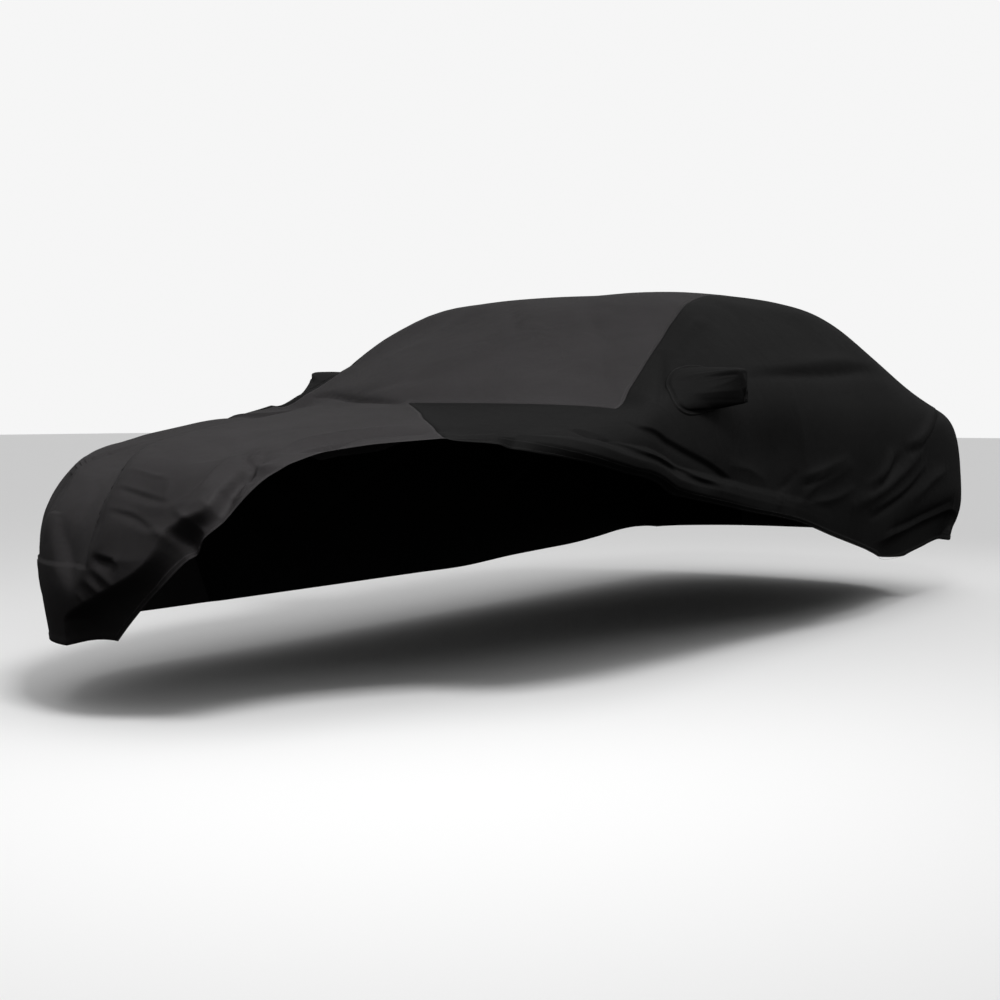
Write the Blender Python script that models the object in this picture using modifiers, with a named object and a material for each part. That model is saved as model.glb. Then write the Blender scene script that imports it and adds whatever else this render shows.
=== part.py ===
"""Fitted cloth cover for a saloon car, its left front corner pulled up over the hood.

Metres. +Z is up, +Y runs to the rear and +X to the left side. The origin lies under the top of the
roof, on the cloth's inner face, where the cover is held up. The cover is one draped surface, cut
along its seams into a charcoal top panel and two black side panels, with a mirror pocket sewn into
each side.

A place on the surface is a station and a girth. The station is a row of SECTIONS, counted from the
front hem, and may lie between two rows. The girth is 0 on the centre line, 1 on the rail where the
top turns down, 2 on the belt, 3 on the skirt and 4 on the bottom hem, negative on the right side.
"""
import math
from collections import namedtuple

import bmesh
import bpy
import numpy as np
from mathutils import Vector

# ---------------------------------------------------------------- driving sizes
CLOTH = 0.002               # thickness of the cloth
SEAM_GAP = 0.0003           # clear gap between neighbouring pieces
EDGE_SHARE = 0.6            # share of the gap that each piece draws back by
WELD = 0.00002              # blocks of one piece are joined where they meet
ROOF_TOP_Y = 0.38           # the roof's highest point, behind mid-length
ROOF_TOP_Z = 1.45           # and above the ground
ORIGIN = np.array([0.0, ROOF_TOP_Y, ROOF_TOP_Z - CLOTH])    # on the inner face of the roof's cloth

SECTION_COLUMNS = (
    "name y top rail_lag rail_x rail_z side_lag belt_x belt_z skirt_x skirt_z hem_x hem_z")
Section = namedtuple("Section", SECTION_COLUMNS)

# y and top place the centre line, measured from mid-length and the ground. rail_lag and side_lag say
# how far the rail and the bottom hem lie behind the centre line, which rounds the nose and the tail.
SECTIONS = [Section(*row) for row in (
    ("front hem", -2.56, 0.22, 0.05, 0.48, 0.22, 0.70, 0.80, 0.21, 0.88, 0.20, 0.91, 0.20),
    ("bumper", -2.62, 0.42, 0.06, 0.46, 0.42, 0.76, 0.81, 0.41, 0.90, 0.32, 0.92, 0.20),
    ("grille", -2.60, 0.60, 0.07, 0.48, 0.60, 0.84, 0.84, 0.58, 0.92, 0.40, 0.93, 0.20),
    ("nose top", -2.51, 0.74, 0.09, 0.50, 0.73, 0.88, 0.86, 0.71, 0.93, 0.44, 0.93, 0.20),
    ("hood front", -2.36, 0.81, 0.07, 0.56, 0.79, 0.86, 0.88, 0.77, 0.94, 0.46, 0.93, 0.20),
    ("hood mid", -2.05, 0.87, 0.05, 0.62, 0.84, 0.68, 0.91, 0.80, 0.94, 0.48, 0.93, 0.20),
    ("hood rear", -1.70, 0.92, 0.06, 0.66, 0.88, 0.40, 0.92, 0.83, 0.94, 0.50, 0.92, 0.20),
    ("fender", -1.45, 0.95, 0.14, 0.69, 0.92, 0.24, 0.92, 0.87, 0.945, 0.52, 0.92, 0.20),
    ("cowl", -1.34, 0.97, 0.26, 0.71, 0.95, 0.22, 0.91, 0.90, 0.945, 0.54, 0.92, 0.20),
    ("screen low", -1.22, 1.04, 0.27, 0.70, 1.02, 0.20, 0.90, 0.92, 0.945, 0.55, 0.92, 0.20),
    ("screen", -0.86, 1.21, 0.22, 0.64, 1.18, 0.12, 0.90, 0.95, 0.945, 0.56, 0.92, 0.20),
    ("header", -0.47, 1.36, 0.13, 0.59, 1.32, 0.04, 0.905, 0.97, 0.945, 0.57, 0.92, 0.20),
    ("roof front", 0.00, 1.43, 0.05, 0.57, 1.375, 0.00, 0.91, 0.98, 0.95, 0.58, 0.92, 0.20),
    ("roof", 0.38, 1.45, 0.00, 0.57, 1.39, 0.00, 0.91, 0.98, 0.95, 0.58, 0.92, 0.20),
    ("roof rear", 0.78, 1.43, 0.00, 0.595, 1.395, 0.00, 0.91, 0.98, 0.95, 0.58, 0.92, 0.22),
    ("back header", 1.12, 1.38, -0.04, 0.61, 1.365, -0.04, 0.91, 0.98, 0.945, 0.58, 0.92, 0.23),
    ("back glass", 1.50, 1.27, -0.10, 0.625, 1.26, -0.10, 0.90, 0.97, 0.94, 0.58, 0.92, 0.24),
    ("deck front", 1.86, 1.13, -0.14, 0.63, 1.125, -0.20, 0.89, 0.95, 0.93, 0.58, 0.91, 0.26),
    ("deck", 2.22, 1.04, -0.10, 0.62, 1.025, -0.34, 0.88, 0.91, 0.93, 0.58, 0.91, 0.28),
    ("deck rear", 2.50, 0.99, -0.07, 0.60, 0.97, -0.46, 0.86, 0.87, 0.92, 0.58, 0.90, 0.29),
    ("tail top", 2.63, 0.88, -0.06, 0.59, 0.87, -0.50, 0.84, 0.79, 0.91, 0.55, 0.89, 0.29),
    ("tail", 2.68, 0.68, -0.06, 0.57, 0.67, -0.50, 0.82, 0.62, 0.90, 0.47, 0.87, 0.29),
    ("tail low", 2.67, 0.48, -0.06, 0.54, 0.48, -0.485, 0.79, 0.46, 0.86, 0.38, 0.84, 0.29),
    ("back hem", 2.57, 0.29, -0.05, 0.47, 0.29, -0.385, 0.71, 0.29, 0.79, 0.29, 0.82, 0.29),
)]
BELT_SHARE = 0.55           # share of side_lag that the belt takes
SKIRT_SHARE = 0.82          # and the skirt
LAST = len(SECTIONS) - 1
HEM = 4.0                   # girth of the bottom hem
NORMAL_STEP = 0.02          # step in station and girth when a normal is measured

# ---------------------------------------------------------------- seams and hems, as station and girth
LIFT = 5.17                 # station where the lifted hem leaves the hood
COWL = 7.93                 # station of the seam at the foot of the windscreen
FENDER_EDGE = -1.75         # girth of the right side seam beside the hood

NOSE_HEM = [                # lifted hem, from the front hem up the nose and along the hood
    (0.00, -0.44), (0.59, -0.12), (1.02, 0.09), (1.68, 0.36), (2.01, 0.50), (2.47, 0.60),
    (3.42, 0.68), (4.34, 0.71), (4.74, 0.81), (LIFT, 0.97)]
SIDE_HEM = [                # from the hood over the fender and down the doors to the sill
    (LIFT, 0.97), (5.23, 1.27), (4.90, 1.55), (4.74, 1.85), (5.23, 2.12), (6.45, 2.40), (8.39, 2.64),
    (9.44, 2.79), (11.2, 3.05), (13.0, 3.42), (14.6, 3.80), (16.4, HEM), (LAST, HEM)]
SIDE_HEM_SPLIT = 6          # the point of SIDE_HEM that lies below the foot of the windscreen
HOOD_SEAM = [               # edge of the black corner that reaches over the hood
    (LIFT, 0.97), (5.63, 0.71), (6.05, 0.48), (6.42, 0.35), (6.98, 0.18), (7.5, 0.10), (COWL, 0.04)]
CENTRE_LINE = [(COWL, 0.04), (9.5, 0.0), (LAST, 0.0)]
ROOF_SEAM = [               # from the foot of the windscreen up the pillar and back over the roof side
    (COWL, 1.04), (9.0, 1.00), (10.4, 1.01), (10.9, 1.00), (11.4, 0.93), (12.2, 0.80), (12.9, 0.74),
    (15.0, 0.74), (18.0, 0.86), (LAST, 0.92)]
RIGHT_SEAM = [              # on the other side it stays beside the hood
    (LIFT, FENDER_EDGE), (6.6, -1.76), (7.4, -1.74), (COWL, -1.64), (8.4, -1.50), (9.0, -1.34),
    (9.6, -1.22), (10.4, -1.16), (11.4, -1.05), (12.4, -0.90), (13.4, -0.78), (15.0, -0.74),
    (18.0, -0.86), (LAST, -0.92)]

# ---------------------------------------------------------------- folds
# Each fold is a soft ridge, or a trough where height is negative, along a path of stations and girths.
Fold = namedtuple("Fold", "name width height path")
FOLDS = [Fold(*row) for row in (
    ("hood ridge", 0.10, 0.016, [(7.4, -0.70), (5.8, -0.42), (5.1, -0.46), (4.2, -0.44)]),
    ("nose ridge", 0.07, 0.022, [(4.2, -0.44), (3.4, -0.30), (2.4, -0.27), (1.5, -0.33), (0.8, -0.55)]),
    ("nose gather", 0.035, -0.022, [(3.9, 0.44), (3.3, 0.46), (2.3, 0.52)]),
    ("nose gather upper", 0.030, -0.014, [(4.3, 0.34), (3.6, 0.52)]),
    ("hood edge trough", 0.055, -0.020, [(4.1, 0.50), (4.8, 0.46), (5.3, 0.57), (5.6, 0.76)]),
    ("hood soft trough", 0.080, -0.014, [(3.7, 0.20), (4.4, 0.04), (5.2, -0.12)]),
    ("nose swag one", 0.035, 0.012, [(2.47, -0.20), (2.37, 0.11), (2.5, 0.36)]),
    ("nose swag two", 0.035, 0.012, [(2.07, -0.21), (1.91, 0.11), (2.0, 0.30)]),
    ("nose swag three", 0.035, 0.010, [(1.58, -0.32), (1.45, -0.15), (1.5, 0.08)]),
    ("door fold upper", 0.045, 0.014, [(11.9, 1.63), (13.4, 1.62), (15.4, 1.60)]),
    ("door fold lower", 0.045, -0.014, [(11.8, 1.78), (13.4, 1.74), (15.9, 1.66)]),
    ("door hollow", 0.16, -0.030, [(10.6, 2.45), (11.4, 2.49), (12.2, 2.40)]),
    ("rear fold one", 0.055, 0.026, [(17.3, 2.09), (16.4, 2.40), (15.7, 2.63)]),
    ("rear fold two", 0.050, 0.026, [(16.1, 2.60), (14.8, 2.90), (13.5, 3.11)]),
    ("rear fold three", 0.045, 0.020, [(14.9, 2.53), (14.6, 2.70), (14.3, 2.93)]),
    ("rear fold four", 0.045, 0.020, [(13.4, 2.67), (12.8, 2.76), (12.1, 2.85)]),
    ("rear fold five", 0.045, 0.020, [(17.8, 2.80), (16.8, 2.93), (15.8, 3.17)]),
    ("rear tuck", 0.060, -0.026, [(19.4, 3.42), (17.4, 3.50), (15.3, 3.56)]),
    ("right hood ridge", 0.16, 0.034, [(5.0, -1.20), (6.1, -1.38), (6.8, -1.32), (7.4, -1.30)]),
    ("right cowl hollow", 0.11, -0.022, [(8.3, -1.42), (8.7, -1.38), (9.2, -1.36)]),
    ("right pillar ridge", 0.13, 0.036, [(9.8, -1.22), (10.2, -1.14), (10.6, -1.00), (10.9, -0.50)]),
    ("right fold one", 0.060, 0.022, [(16.8, -2.20), (15.6, -2.60), (14.2, -3.00)]),
    ("right fold two", 0.060, 0.022, [(7.0, -2.40), (8.4, -2.80), (9.8, -3.30)]),
    ("right fold three", 0.060, 0.018, [(11.6, -1.70), (13.4, -1.72), (15.4, -1.66)]),
    ("far corner fold", 0.060, 0.024, [(3.2, -1.70), (2.0, -1.60), (0.6, -1.50)]),
    ("far bumper fold", 0.060, -0.020, [(2.6, -2.30), (1.8, -2.10), (0.9, -2.00)]),
    ("tail fold one", 0.060, 0.020, [(20.0, -0.30), (21.2, -0.55), (22.4, -0.60)]),
    ("tail fold two", 0.060, 0.020, [(19.8, 1.20), (21.0, 1.45), (22.3, 1.50)]),
)]
FOLD_STEPS = 14             # points along a fold's path
FOLD_END = 0.04             # share of a fold's length that is level at each end
FOLD_FADE = 0.6             # and how fast it fades towards them
TUCK_WIDTH = 0.075          # the lower part of the nose hem curls in under itself
TUCK_DEPTH = 0.050
TUCK_PATH = [(0.0, -0.60), (0.6, -0.20), (1.2, 0.12), (1.9, 0.42), (2.3, 0.55)]
ROLL_END = 10               # the hem is rolled along this many points of SIDE_HEM
ROLL_STEPS = 60             # points along the roll
ROLL_RISE = 0.17            # share of its length over which it builds up
ROLL_FALL = 0.25            # and dies away
ROLL_REACH = (0.0, 0.022, 0.048, 0.075, 0.100, 0.130, 0.170)     # distance from the side hem
ROLL_HEIGHT = (-0.022, 0.004, 0.024, 0.010, -0.012, -0.004, 0.0)  # and how far the cloth stands out

# ---------------------------------------------------------------- mirror pockets
POCKET_CORNERS = ((9.54, 1.36), (10.60, 1.64), (10.60, 2.00), (9.50, 2.04))   # around the hole
PLUG_REACH = 0.07                         # the hole's cutter reaches this far each way
POCKET_GAP = 0.0005                       # between the pocket and the edge of its hole
POCKET_LIP = 0.004                        # the pocket rises straight out of its hole this far
POCKET_SIDES = 20
POCKET_POWER = 0.62                        # squareness of the pocket's rings
LEFT_TIP = (1.000, -0.658, 1.028)          # middle of the outer ring, from mid-length and the ground
RIGHT_TIP = (-0.982, -0.632, 1.046)        # the right pocket stands a little higher
TIP_HALF_Y = 0.056
TIP_HALF_Z = 0.054
TIP_REACH = 0.008                          # the closed end bulges this far past the ring
PocketRing = namedtuple("PocketRing", "share swell")
POCKET_RINGS = [PocketRing(*row) for row in (
    (0.40, 1.02),
    (0.75, 1.10),
    (0.93, 1.06),
    (1.00, 0.90),
    (1.00, 0.45),
)]

# ---------------------------------------------------------------- how finely the cloth is divided
NOSE_COLUMNS = 20
HOOD_COLUMNS = 16
REAR_COLUMNS = 48
CENTRE_ROWS = 16
SCREEN_ROWS = 8
CENTRE_CLOSING = 1.5        # how much closer together the rows lie near the hem
SIDE_CLOSING = 1.7
RIGHT_ROWS = 9

CHARCOAL = (0.040, 0.037, 0.039, 1.0)
BLACK = (0.017, 0.017, 0.017, 1.0)
CLOTH_ROUGHNESS = 0.72


# ---------------------------------------------------------------- the draped surface
def hermite(points, knots, at):
    """Smooth curve through points, read at the given knot values."""
    points = np.asarray(points, float)
    knots = np.asarray(knots, float)
    spans = np.diff(knots)
    column = (-1,) + (1,) * (points.ndim - 1)
    slopes = np.diff(points, axis=0) / spans.reshape(column)
    share = (spans[1:] / (spans[1:] + spans[:-1])).reshape(column)
    tangents = np.concatenate([
        slopes[:1], slopes[:-1] * share + slopes[1:] * (1.0 - share), slopes[-1:]])
    i = np.clip(np.searchsorted(knots, at, side="right") - 1, 0, len(spans) - 1)
    h = spans[i].reshape(column)
    u = (at - knots[i]).reshape(column) / h
    rise = u * u * (3.0 - 2.0 * u)
    return (points[i] * (1.0 - rise) + points[i + 1] * rise
            + h * tangents[i] * u * (1.0 - u) ** 2 - h * tangents[i + 1] * u * u * (1.0 - u))


def section_corners():
    """Centre, rail, belt, skirt and hem of every section, and the knot value of each section."""
    rows = []
    for s in SECTIONS:
        rows.append((
            (0.0, s.y, s.top),
            (s.rail_x, s.y + s.rail_lag, s.rail_z),
            (s.belt_x, s.y + s.side_lag * BELT_SHARE, s.belt_z),
            (s.skirt_x, s.y + s.side_lag * SKIRT_SHARE, s.skirt_z),
            (s.hem_x, s.y + s.side_lag, s.hem_z)))
    corners = np.array(rows)
    steps = np.sqrt(np.linalg.norm(np.diff(corners[:, 0], axis=0), axis=1))
    return corners, np.concatenate([[0.0], np.cumsum(steps)])


CORNERS, CORNER_KNOTS = section_corners()


def around(corners, girth):
    """Points at the given girths of sections whose five corners are given."""
    mirrored_rail = corners[:, 1:2] * np.array([-1.0, 1.0, 1.0])
    chain = np.concatenate([mirrored_rail, corners], axis=1)
    side = np.where(girth < 0.0, -1.0, 1.0)
    reach = np.abs(girth)
    i = np.clip(np.floor(reach).astype(int), 0, 3)
    n = np.arange(len(reach))
    before, start, end = chain[n, i], chain[n, i + 1], chain[n, i + 2]
    after = chain[n, np.minimum(i + 3, 5)]
    u = (reach - i)[:, None]
    d0 = np.sqrt(np.maximum(np.linalg.norm(start - before, axis=1, keepdims=True), 1e-6))
    d1 = np.sqrt(np.maximum(np.linalg.norm(end - start, axis=1, keepdims=True), 1e-6))
    d2 = np.sqrt(np.maximum(np.linalg.norm(after - end, axis=1, keepdims=True), 1e-6))
    leave = d1 * ((start - before) / d0 - (end - before) / (d0 + d1) + (end - start) / d1)
    arrive = d1 * ((end - start) / d1 - (after - start) / (d1 + d2) + (after - end) / d2)
    arrive = np.where((i == 3)[:, None], end - start, arrive)
    rise = u * u * (3.0 - 2.0 * u)
    points = start * (1.0 - rise) + end * rise + leave * u * (1.0 - u) ** 2 - arrive * u * u * (1.0 - u)
    points[:, 0] *= side
    return points


def stretched(places):
    """The cover pulled smooth, before its folds: one point for each station and girth."""
    station = places[:, 0]
    knots = np.interp(station, np.arange(LAST + 1), CORNER_KNOTS)
    points = around(hermite(CORNERS, CORNER_KNOTS, knots), places[:, 1])
    return points - ORIGIN


def normals_of(surface, places):
    """Unit normals, pointing out, of a surface that gives a point for each station and girth."""
    low = np.array([0.0, -HEM]) + NORMAL_STEP
    high = np.array([LAST, HEM]) - NORMAL_STEP
    places = np.clip(places, low, high)
    along = surface(places + (NORMAL_STEP, 0.0)) - surface(places - (NORMAL_STEP, 0.0))
    down = surface(places + (0.0, NORMAL_STEP)) - surface(places - (0.0, NORMAL_STEP))
    normal = np.cross(down, along)
    return normal / np.linalg.norm(normal, axis=1, keepdims=True)


def path_places(path, count):
    """Stations and girths at even steps along a path of a few given ones."""
    path = np.asarray(path, float)
    knots = np.arange(len(path))
    return hermite(path, knots, np.linspace(0.0, len(path) - 1.0, count))


def distance_to(points, line):
    """Distance of each point from a polyline, and the share of the line where it is nearest."""
    best = np.full(len(points), 1e9)
    share = np.zeros(len(points))
    for k in range(len(line) - 1):
        run = line[k + 1] - line[k]
        t = np.clip(((points - line[k]) @ run) / (run @ run), 0.0, 1.0)
        away = np.linalg.norm(points - line[k] - t[:, None] * run, axis=1)
        nearer = away < best
        best = np.where(nearer, away, best)
        share = np.where(nearer, (k + t) / (len(line) - 1), share)
    return best, share


def fold_heights(points):
    """How far the folds lift the cloth off the stretched surface at each point."""
    lift = np.zeros(len(points))
    for fold in FOLDS:
        line = stretched(path_places(fold.path, FOLD_STEPS))
        away, share = distance_to(points, line)
        fade = np.sin(np.pi * np.clip(share, FOLD_END, 1.0 - FOLD_END)) ** FOLD_FADE
        lift += fold.height * fade * np.exp(-(away / fold.width) ** 2)
    tuck, share = distance_to(points, stretched(path_places(TUCK_PATH, FOLD_STEPS)))
    lift -= TUCK_DEPTH * np.sqrt(1.0 - share) * np.exp(-(tuck / TUCK_WIDTH) ** 2)
    roll, share = distance_to(points, stretched(path_places(SIDE_HEM[:ROLL_END], ROLL_STEPS)))
    fade = np.clip(share / ROLL_RISE, 0.0, 1.0) * np.clip((1.0 - share) / ROLL_FALL, 0.0, 1.0)
    lift += fade * np.interp(roll, ROLL_REACH, ROLL_HEIGHT)
    return lift


def draped(places):
    """Points of the cover with its folds, for an array of stations and girths."""
    flat = places.reshape(-1, 2)
    base = stretched(flat)
    points = base + normals_of(stretched, flat) * fold_heights(base)[:, None]
    return points.reshape(places.shape[:-1] + (3,))


def draped_normals(places):
    """Unit normals of the cover with its folds."""
    normal = normals_of(draped, places.reshape(-1, 2))
    return normal.reshape(places.shape[:-1] + (3,))


# ---------------------------------------------------------------- blocks of cloth, as stations and girths
def closing_steps(count, power):
    """Shares from 0 to 1, closer together near 1."""
    return 1.0 - (1.0 - np.linspace(0.0, 1.0, count + 1)) ** power


CENTRE_SHARES = closing_steps(CENTRE_ROWS, CENTRE_CLOSING)
SIDE_SHARES = closing_steps(HOOD_COLUMNS, SIDE_CLOSING)


def girth_at(path, stations):
    """Girth of a seam at each station, for a path that runs rearwards."""
    path = np.asarray(path, float)
    return hermite(path[:, 1], path[:, 0], stations)


def ruled(first, last, shares):
    """Grid between two lines of places, with rows at the given shares."""
    return first[:, None] * (1.0 - shares[None, :, None]) + last[:, None] * shares[None, :, None]


def line_at(stations, girths):
    """Places at the given stations, with one girth each or one for all."""
    return np.stack([stations, np.broadcast_to(girths, stations.shape)], 1)


def right_seam(stations):
    """Seam between the top panel and the right side panel."""
    return line_at(stations, girth_at(RIGHT_SEAM, stations))


def nose_stations():
    """From the front hem to where the lifted hem leaves the hood."""
    return np.linspace(0.0, LIFT, NOSE_COLUMNS + 1)


def hood_stations():
    """Closer together near the lifted hem, whose roll needs them."""
    return LIFT + (COWL - LIFT) * (1.0 - SIDE_SHARES[::-1])


def rear_stations():
    """From the foot of the windscreen to the back hem."""
    return np.linspace(COWL, LAST, REAR_COLUMNS + 1)


def top_blocks():
    """Nose corner, nose, hood, windscreen to tail in two halves."""
    nose, hood, rear = nose_stations(), hood_stations(), rear_stations()
    corner = ruled(line_at(nose, -HEM), line_at(nose, FENDER_EDGE), np.linspace(0, 1, RIGHT_ROWS + 1))
    front = ruled(line_at(nose, FENDER_EDGE), line_at(nose, girth_at(NOSE_HEM, nose)), CENTRE_SHARES)
    middle = ruled(right_seam(hood), line_at(hood, girth_at(HOOD_SEAM, hood)), CENTRE_SHARES)
    centre = line_at(rear, girth_at(CENTRE_LINE, rear))
    left_seam = line_at(rear, girth_at(ROOF_SEAM, rear))
    right_half = ruled(right_seam(rear), centre, CENTRE_SHARES)
    left_half = ruled(centre, left_seam, np.linspace(0, 1, SCREEN_ROWS + 1))
    return [corner, front, middle, right_half, left_half]


def right_blocks():
    """The whole right side, from the front wheel to the tail."""
    stations = np.concatenate([hood_stations(), rear_stations()[1:]])
    return [ruled(line_at(stations, -HEM), right_seam(stations), np.linspace(0, 1, RIGHT_ROWS + 1))]


def left_blocks():
    """The left side: a corner that reaches over the hood, and the side from the doors to the tail."""
    hood, rear = hood_stations(), rear_stations()
    seam = line_at(hood, girth_at(HOOD_SEAM, hood))
    across = np.linspace(CENTRE_LINE[0][1], ROOF_SEAM[0][1], SCREEN_ROWS + 1)
    cowl = line_at(np.full(SCREEN_ROWS + 1, COWL), across)
    hem = path_places(SIDE_HEM[:SIDE_HEM_SPLIT + 1], SCREEN_ROWS + 1)
    foot, below = cowl[-1], hem[-1]
    drop = ruled(foot[None], below[None], SIDE_SHARES)[0]
    corner = coons(seam, drop[::-1], hem, cowl)
    low_hem = np.asarray(SIDE_HEM[SIDE_HEM_SPLIT:], float)
    low_stations = np.linspace(low_hem[0, 0], LAST, REAR_COLUMNS + 1)
    low = line_at(low_stations, girth_at(low_hem, low_stations).clip(max=HEM))
    high = line_at(rear, girth_at(ROOF_SEAM, rear))
    return [corner, ruled(high, low, SIDE_SHARES)]


def coons(near, far, start, end):
    """Grid filled in between four lines: near and far run one way, start and end the other."""
    u = np.linspace(0.0, 1.0, len(near))[:, None, None]
    v = np.linspace(0.0, 1.0, len(start))[None, :, None]
    across = near[:, None] * (1 - v) + far[:, None] * v
    along = start[None] * (1 - u) + end[None] * u
    corners = (near[0] * (1 - u) * (1 - v) + near[-1] * u * (1 - v)
               + far[0] * (1 - u) * v + far[-1] * u * v)
    return across + along - corners


# ---------------------------------------------------------------- pieces
def make_material(name, colour):
    material = bpy.data.materials.new(name)
    material.use_nodes = True
    shader = material.node_tree.nodes["Principled BSDF"]
    shader.inputs["Base Color"].default_value = colour
    shader.inputs["Roughness"].default_value = CLOTH_ROUGHNESS
    shader.inputs["Metallic"].default_value = 0.0
    return material


def make_collection(name):
    collection = bpy.data.collections.new(name)
    bpy.context.scene.collection.children.link(collection)
    return collection


def add_object(name, bm, collection):
    mesh = bpy.data.meshes.new(name)
    bm.to_mesh(mesh)
    bm.free()
    mesh.shade_smooth()
    piece = bpy.data.objects.new(name, mesh)
    collection.objects.link(piece)
    return piece


def add_grid(bm, points, normals, normal_layer):
    """Quads over a grid of points, facing out where the columns run rearwards and the rows down."""
    verts = [[bm.verts.new(p) for p in row] for row in points]
    for vert_row, normal_row in zip(verts, normals):
        for vert, normal in zip(vert_row, normal_row):
            vert[normal_layer] = normal
    for i in range(len(verts) - 1):
        for j in range(len(verts[0]) - 1):
            corners = (verts[i][j], verts[i][j + 1], verts[i + 1][j + 1], verts[i + 1][j])
            bm.faces.new(corners)


def draw_back(bm, normal_layer):
    """Shift the border in the cloth's own plane, by the same distance from each of its edges."""
    sides = {}
    for edge in bm.edges:
        if not edge.is_boundary:
            continue
        loop = edge.link_loops[0]
        run = loop.link_loop_next.vert.co - loop.vert.co
        for vert in edge.verts:
            sides.setdefault(vert, []).append(vert[normal_layer].cross(run).normalized())
    for vert, (first, second) in sides.items():
        vert.co += (first + second) * (SEAM_GAP * EDGE_SHARE / (1.0 + first.dot(second)))


def add_wall(bm, normal_layer):
    """Give an open sheet its thickness along the cover's own normals, which its neighbours share."""
    outer = list(bm.faces)
    border = [e for e in bm.edges if e.is_boundary]
    inner = {v: bm.verts.new(v.co - v[normal_layer] * CLOTH) for v in list(bm.verts)}
    for face in outer:
        bm.faces.new([inner[v] for v in reversed(face.verts)])
    for edge in border:
        loop = edge.link_loops[0]
        start, end = loop.vert, loop.link_loop_next.vert
        bm.faces.new((end, start, inner[start], inner[end]))


def make_panel(name, blocks, material, collection):
    """One cut of cloth: its blocks joined, drawn in from the seams and given its thickness."""
    bm = bmesh.new()
    normal_layer = bm.verts.layers.float_vector.new("cloth_normal")
    for block in blocks:
        add_grid(bm, draped(block), draped_normals(block), normal_layer)
    bmesh.ops.remove_doubles(bm, verts=bm.verts, dist=WELD)
    draw_back(bm, normal_layer)
    bmesh.ops.triangulate(bm, faces=bm.faces, quad_method="SHORT_EDGE")
    add_wall(bm, normal_layer)
    piece = add_object(name, bm, collection)
    piece.data.materials.append(material)
    return piece


def thicken(piece):
    solid = piece.modifiers.new("Cloth", "SOLIDIFY")
    solid.thickness = CLOTH
    solid.offset = -1.0
    solid.use_quality_normals = True


def pocket_outline():
    """Cosine and sine like shares around a rounded square."""
    outline = []
    for k in range(POCKET_SIDES):
        angle = 2.0 * math.pi * k / POCKET_SIDES
        c, s = math.cos(angle), math.sin(angle)
        outline.append((math.copysign(abs(c) ** POCKET_POWER, c), math.copysign(abs(s) ** POCKET_POWER, s)))
    return outline


def pocket_base(side):
    """Ring on the side panel where the pocket is sewn in, and the outward normal at its middle."""
    high_front, high_rear, low_rear, low_front = np.array(POCKET_CORNERS) * (1.0, side)
    u, v = (np.array(pocket_outline()).T[:, :, None] + 1.0) / 2.0
    high = high_front * (1.0 - u) + high_rear * u
    low = low_front * (1.0 - u) + low_rear * u
    places = high * (1.0 - v) + low * v
    normal = normals_of(stretched, places.mean(axis=0, keepdims=True))[0]
    return draped(places), normal


def make_hole_cutter(name, side, collection):
    """Closed plug through the side panel, wider than the cloth is thick."""
    ring, normal = pocket_base(side)
    middle = ring.mean(axis=0)
    bm = bmesh.new()
    top, low = [[bm.verts.new(p + normal * reach) for p in ring] for reach in (PLUG_REACH, -PLUG_REACH)]
    top_middle = bm.verts.new(middle + normal * PLUG_REACH)
    low_middle = bm.verts.new(middle - normal * PLUG_REACH)
    for k in range(POCKET_SIDES):
        n = (k + 1) % POCKET_SIDES
        bm.faces.new((top[k], low[k], low[n], top[n]))
        bm.faces.new((top[n], top_middle, top[k]))
        bm.faces.new((low[k], low_middle, low[n]))
    bmesh.ops.recalc_face_normals(bm, faces=bm.faces)
    plug = add_object(name, bm, collection)
    plug.hide_render = True
    plug.display_type = "WIRE"
    return plug


def cut(piece, cutter):
    hole = piece.modifiers.new("Hole", "BOOLEAN")
    hole.operation = "DIFFERENCE"
    hole.solver = "EXACT"
    hole.object = cutter


def pocket_rings(side):
    """Rings of the pocket, from the hole in the side panel out to the closed end, and the end's tip."""
    base, normal = pocket_base(side)
    middle = base.mean(axis=0)
    away = base - middle
    radius = np.linalg.norm(away, axis=1, keepdims=True)
    clear = middle + away * (1.0 - POCKET_GAP / radius)
    end_middle = np.array(LEFT_TIP if side > 0 else RIGHT_TIP) - ORIGIN
    end = np.array([(0.0, TIP_HALF_Y * c, -TIP_HALF_Z * s) for c, s in pocket_outline()])
    rings = [clear - normal * CLOTH, clear + normal * POCKET_LIP]
    for ring in POCKET_RINGS:
        centre = middle * (1.0 - ring.share) + end_middle * ring.share
        spread = (clear - middle) * (1.0 - ring.share) + end * ring.share
        rings.append(centre + spread * ring.swell)
    return rings, end_middle + np.array([side * TIP_REACH, 0.0, 0.0])


def make_pocket(name, side, material, collection):
    """Pouch for a mirror, sewn into the hole in the side panel."""
    rings, tip_point = pocket_rings(side)
    bm = bmesh.new()
    verts = [[bm.verts.new(p) for p in ring] for ring in rings]
    tip = bm.verts.new(tip_point)
    for k in range(POCKET_SIDES):
        n = (k + 1) % POCKET_SIDES
        for inner, outer in zip(verts, verts[1:]):
            bm.faces.new((inner[k], outer[k], outer[n], inner[n]))
        bm.faces.new((verts[-1][k], tip, verts[-1][n]))
    if side < 0:
        bmesh.ops.reverse_faces(bm, faces=bm.faces)
    piece = add_object(name, bm, collection)
    piece.data.materials.append(material)
    thicken(piece)
    return piece


# ---------------------------------------------------------------- build
for old in list(bpy.data.objects):
    bpy.data.objects.remove(old, do_unlink=True)

cover = make_collection("car_cover")
cutters = make_collection("cutters")
charcoal = make_material("charcoal_cloth", CHARCOAL)
black = make_material("black_cloth", BLACK)

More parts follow.
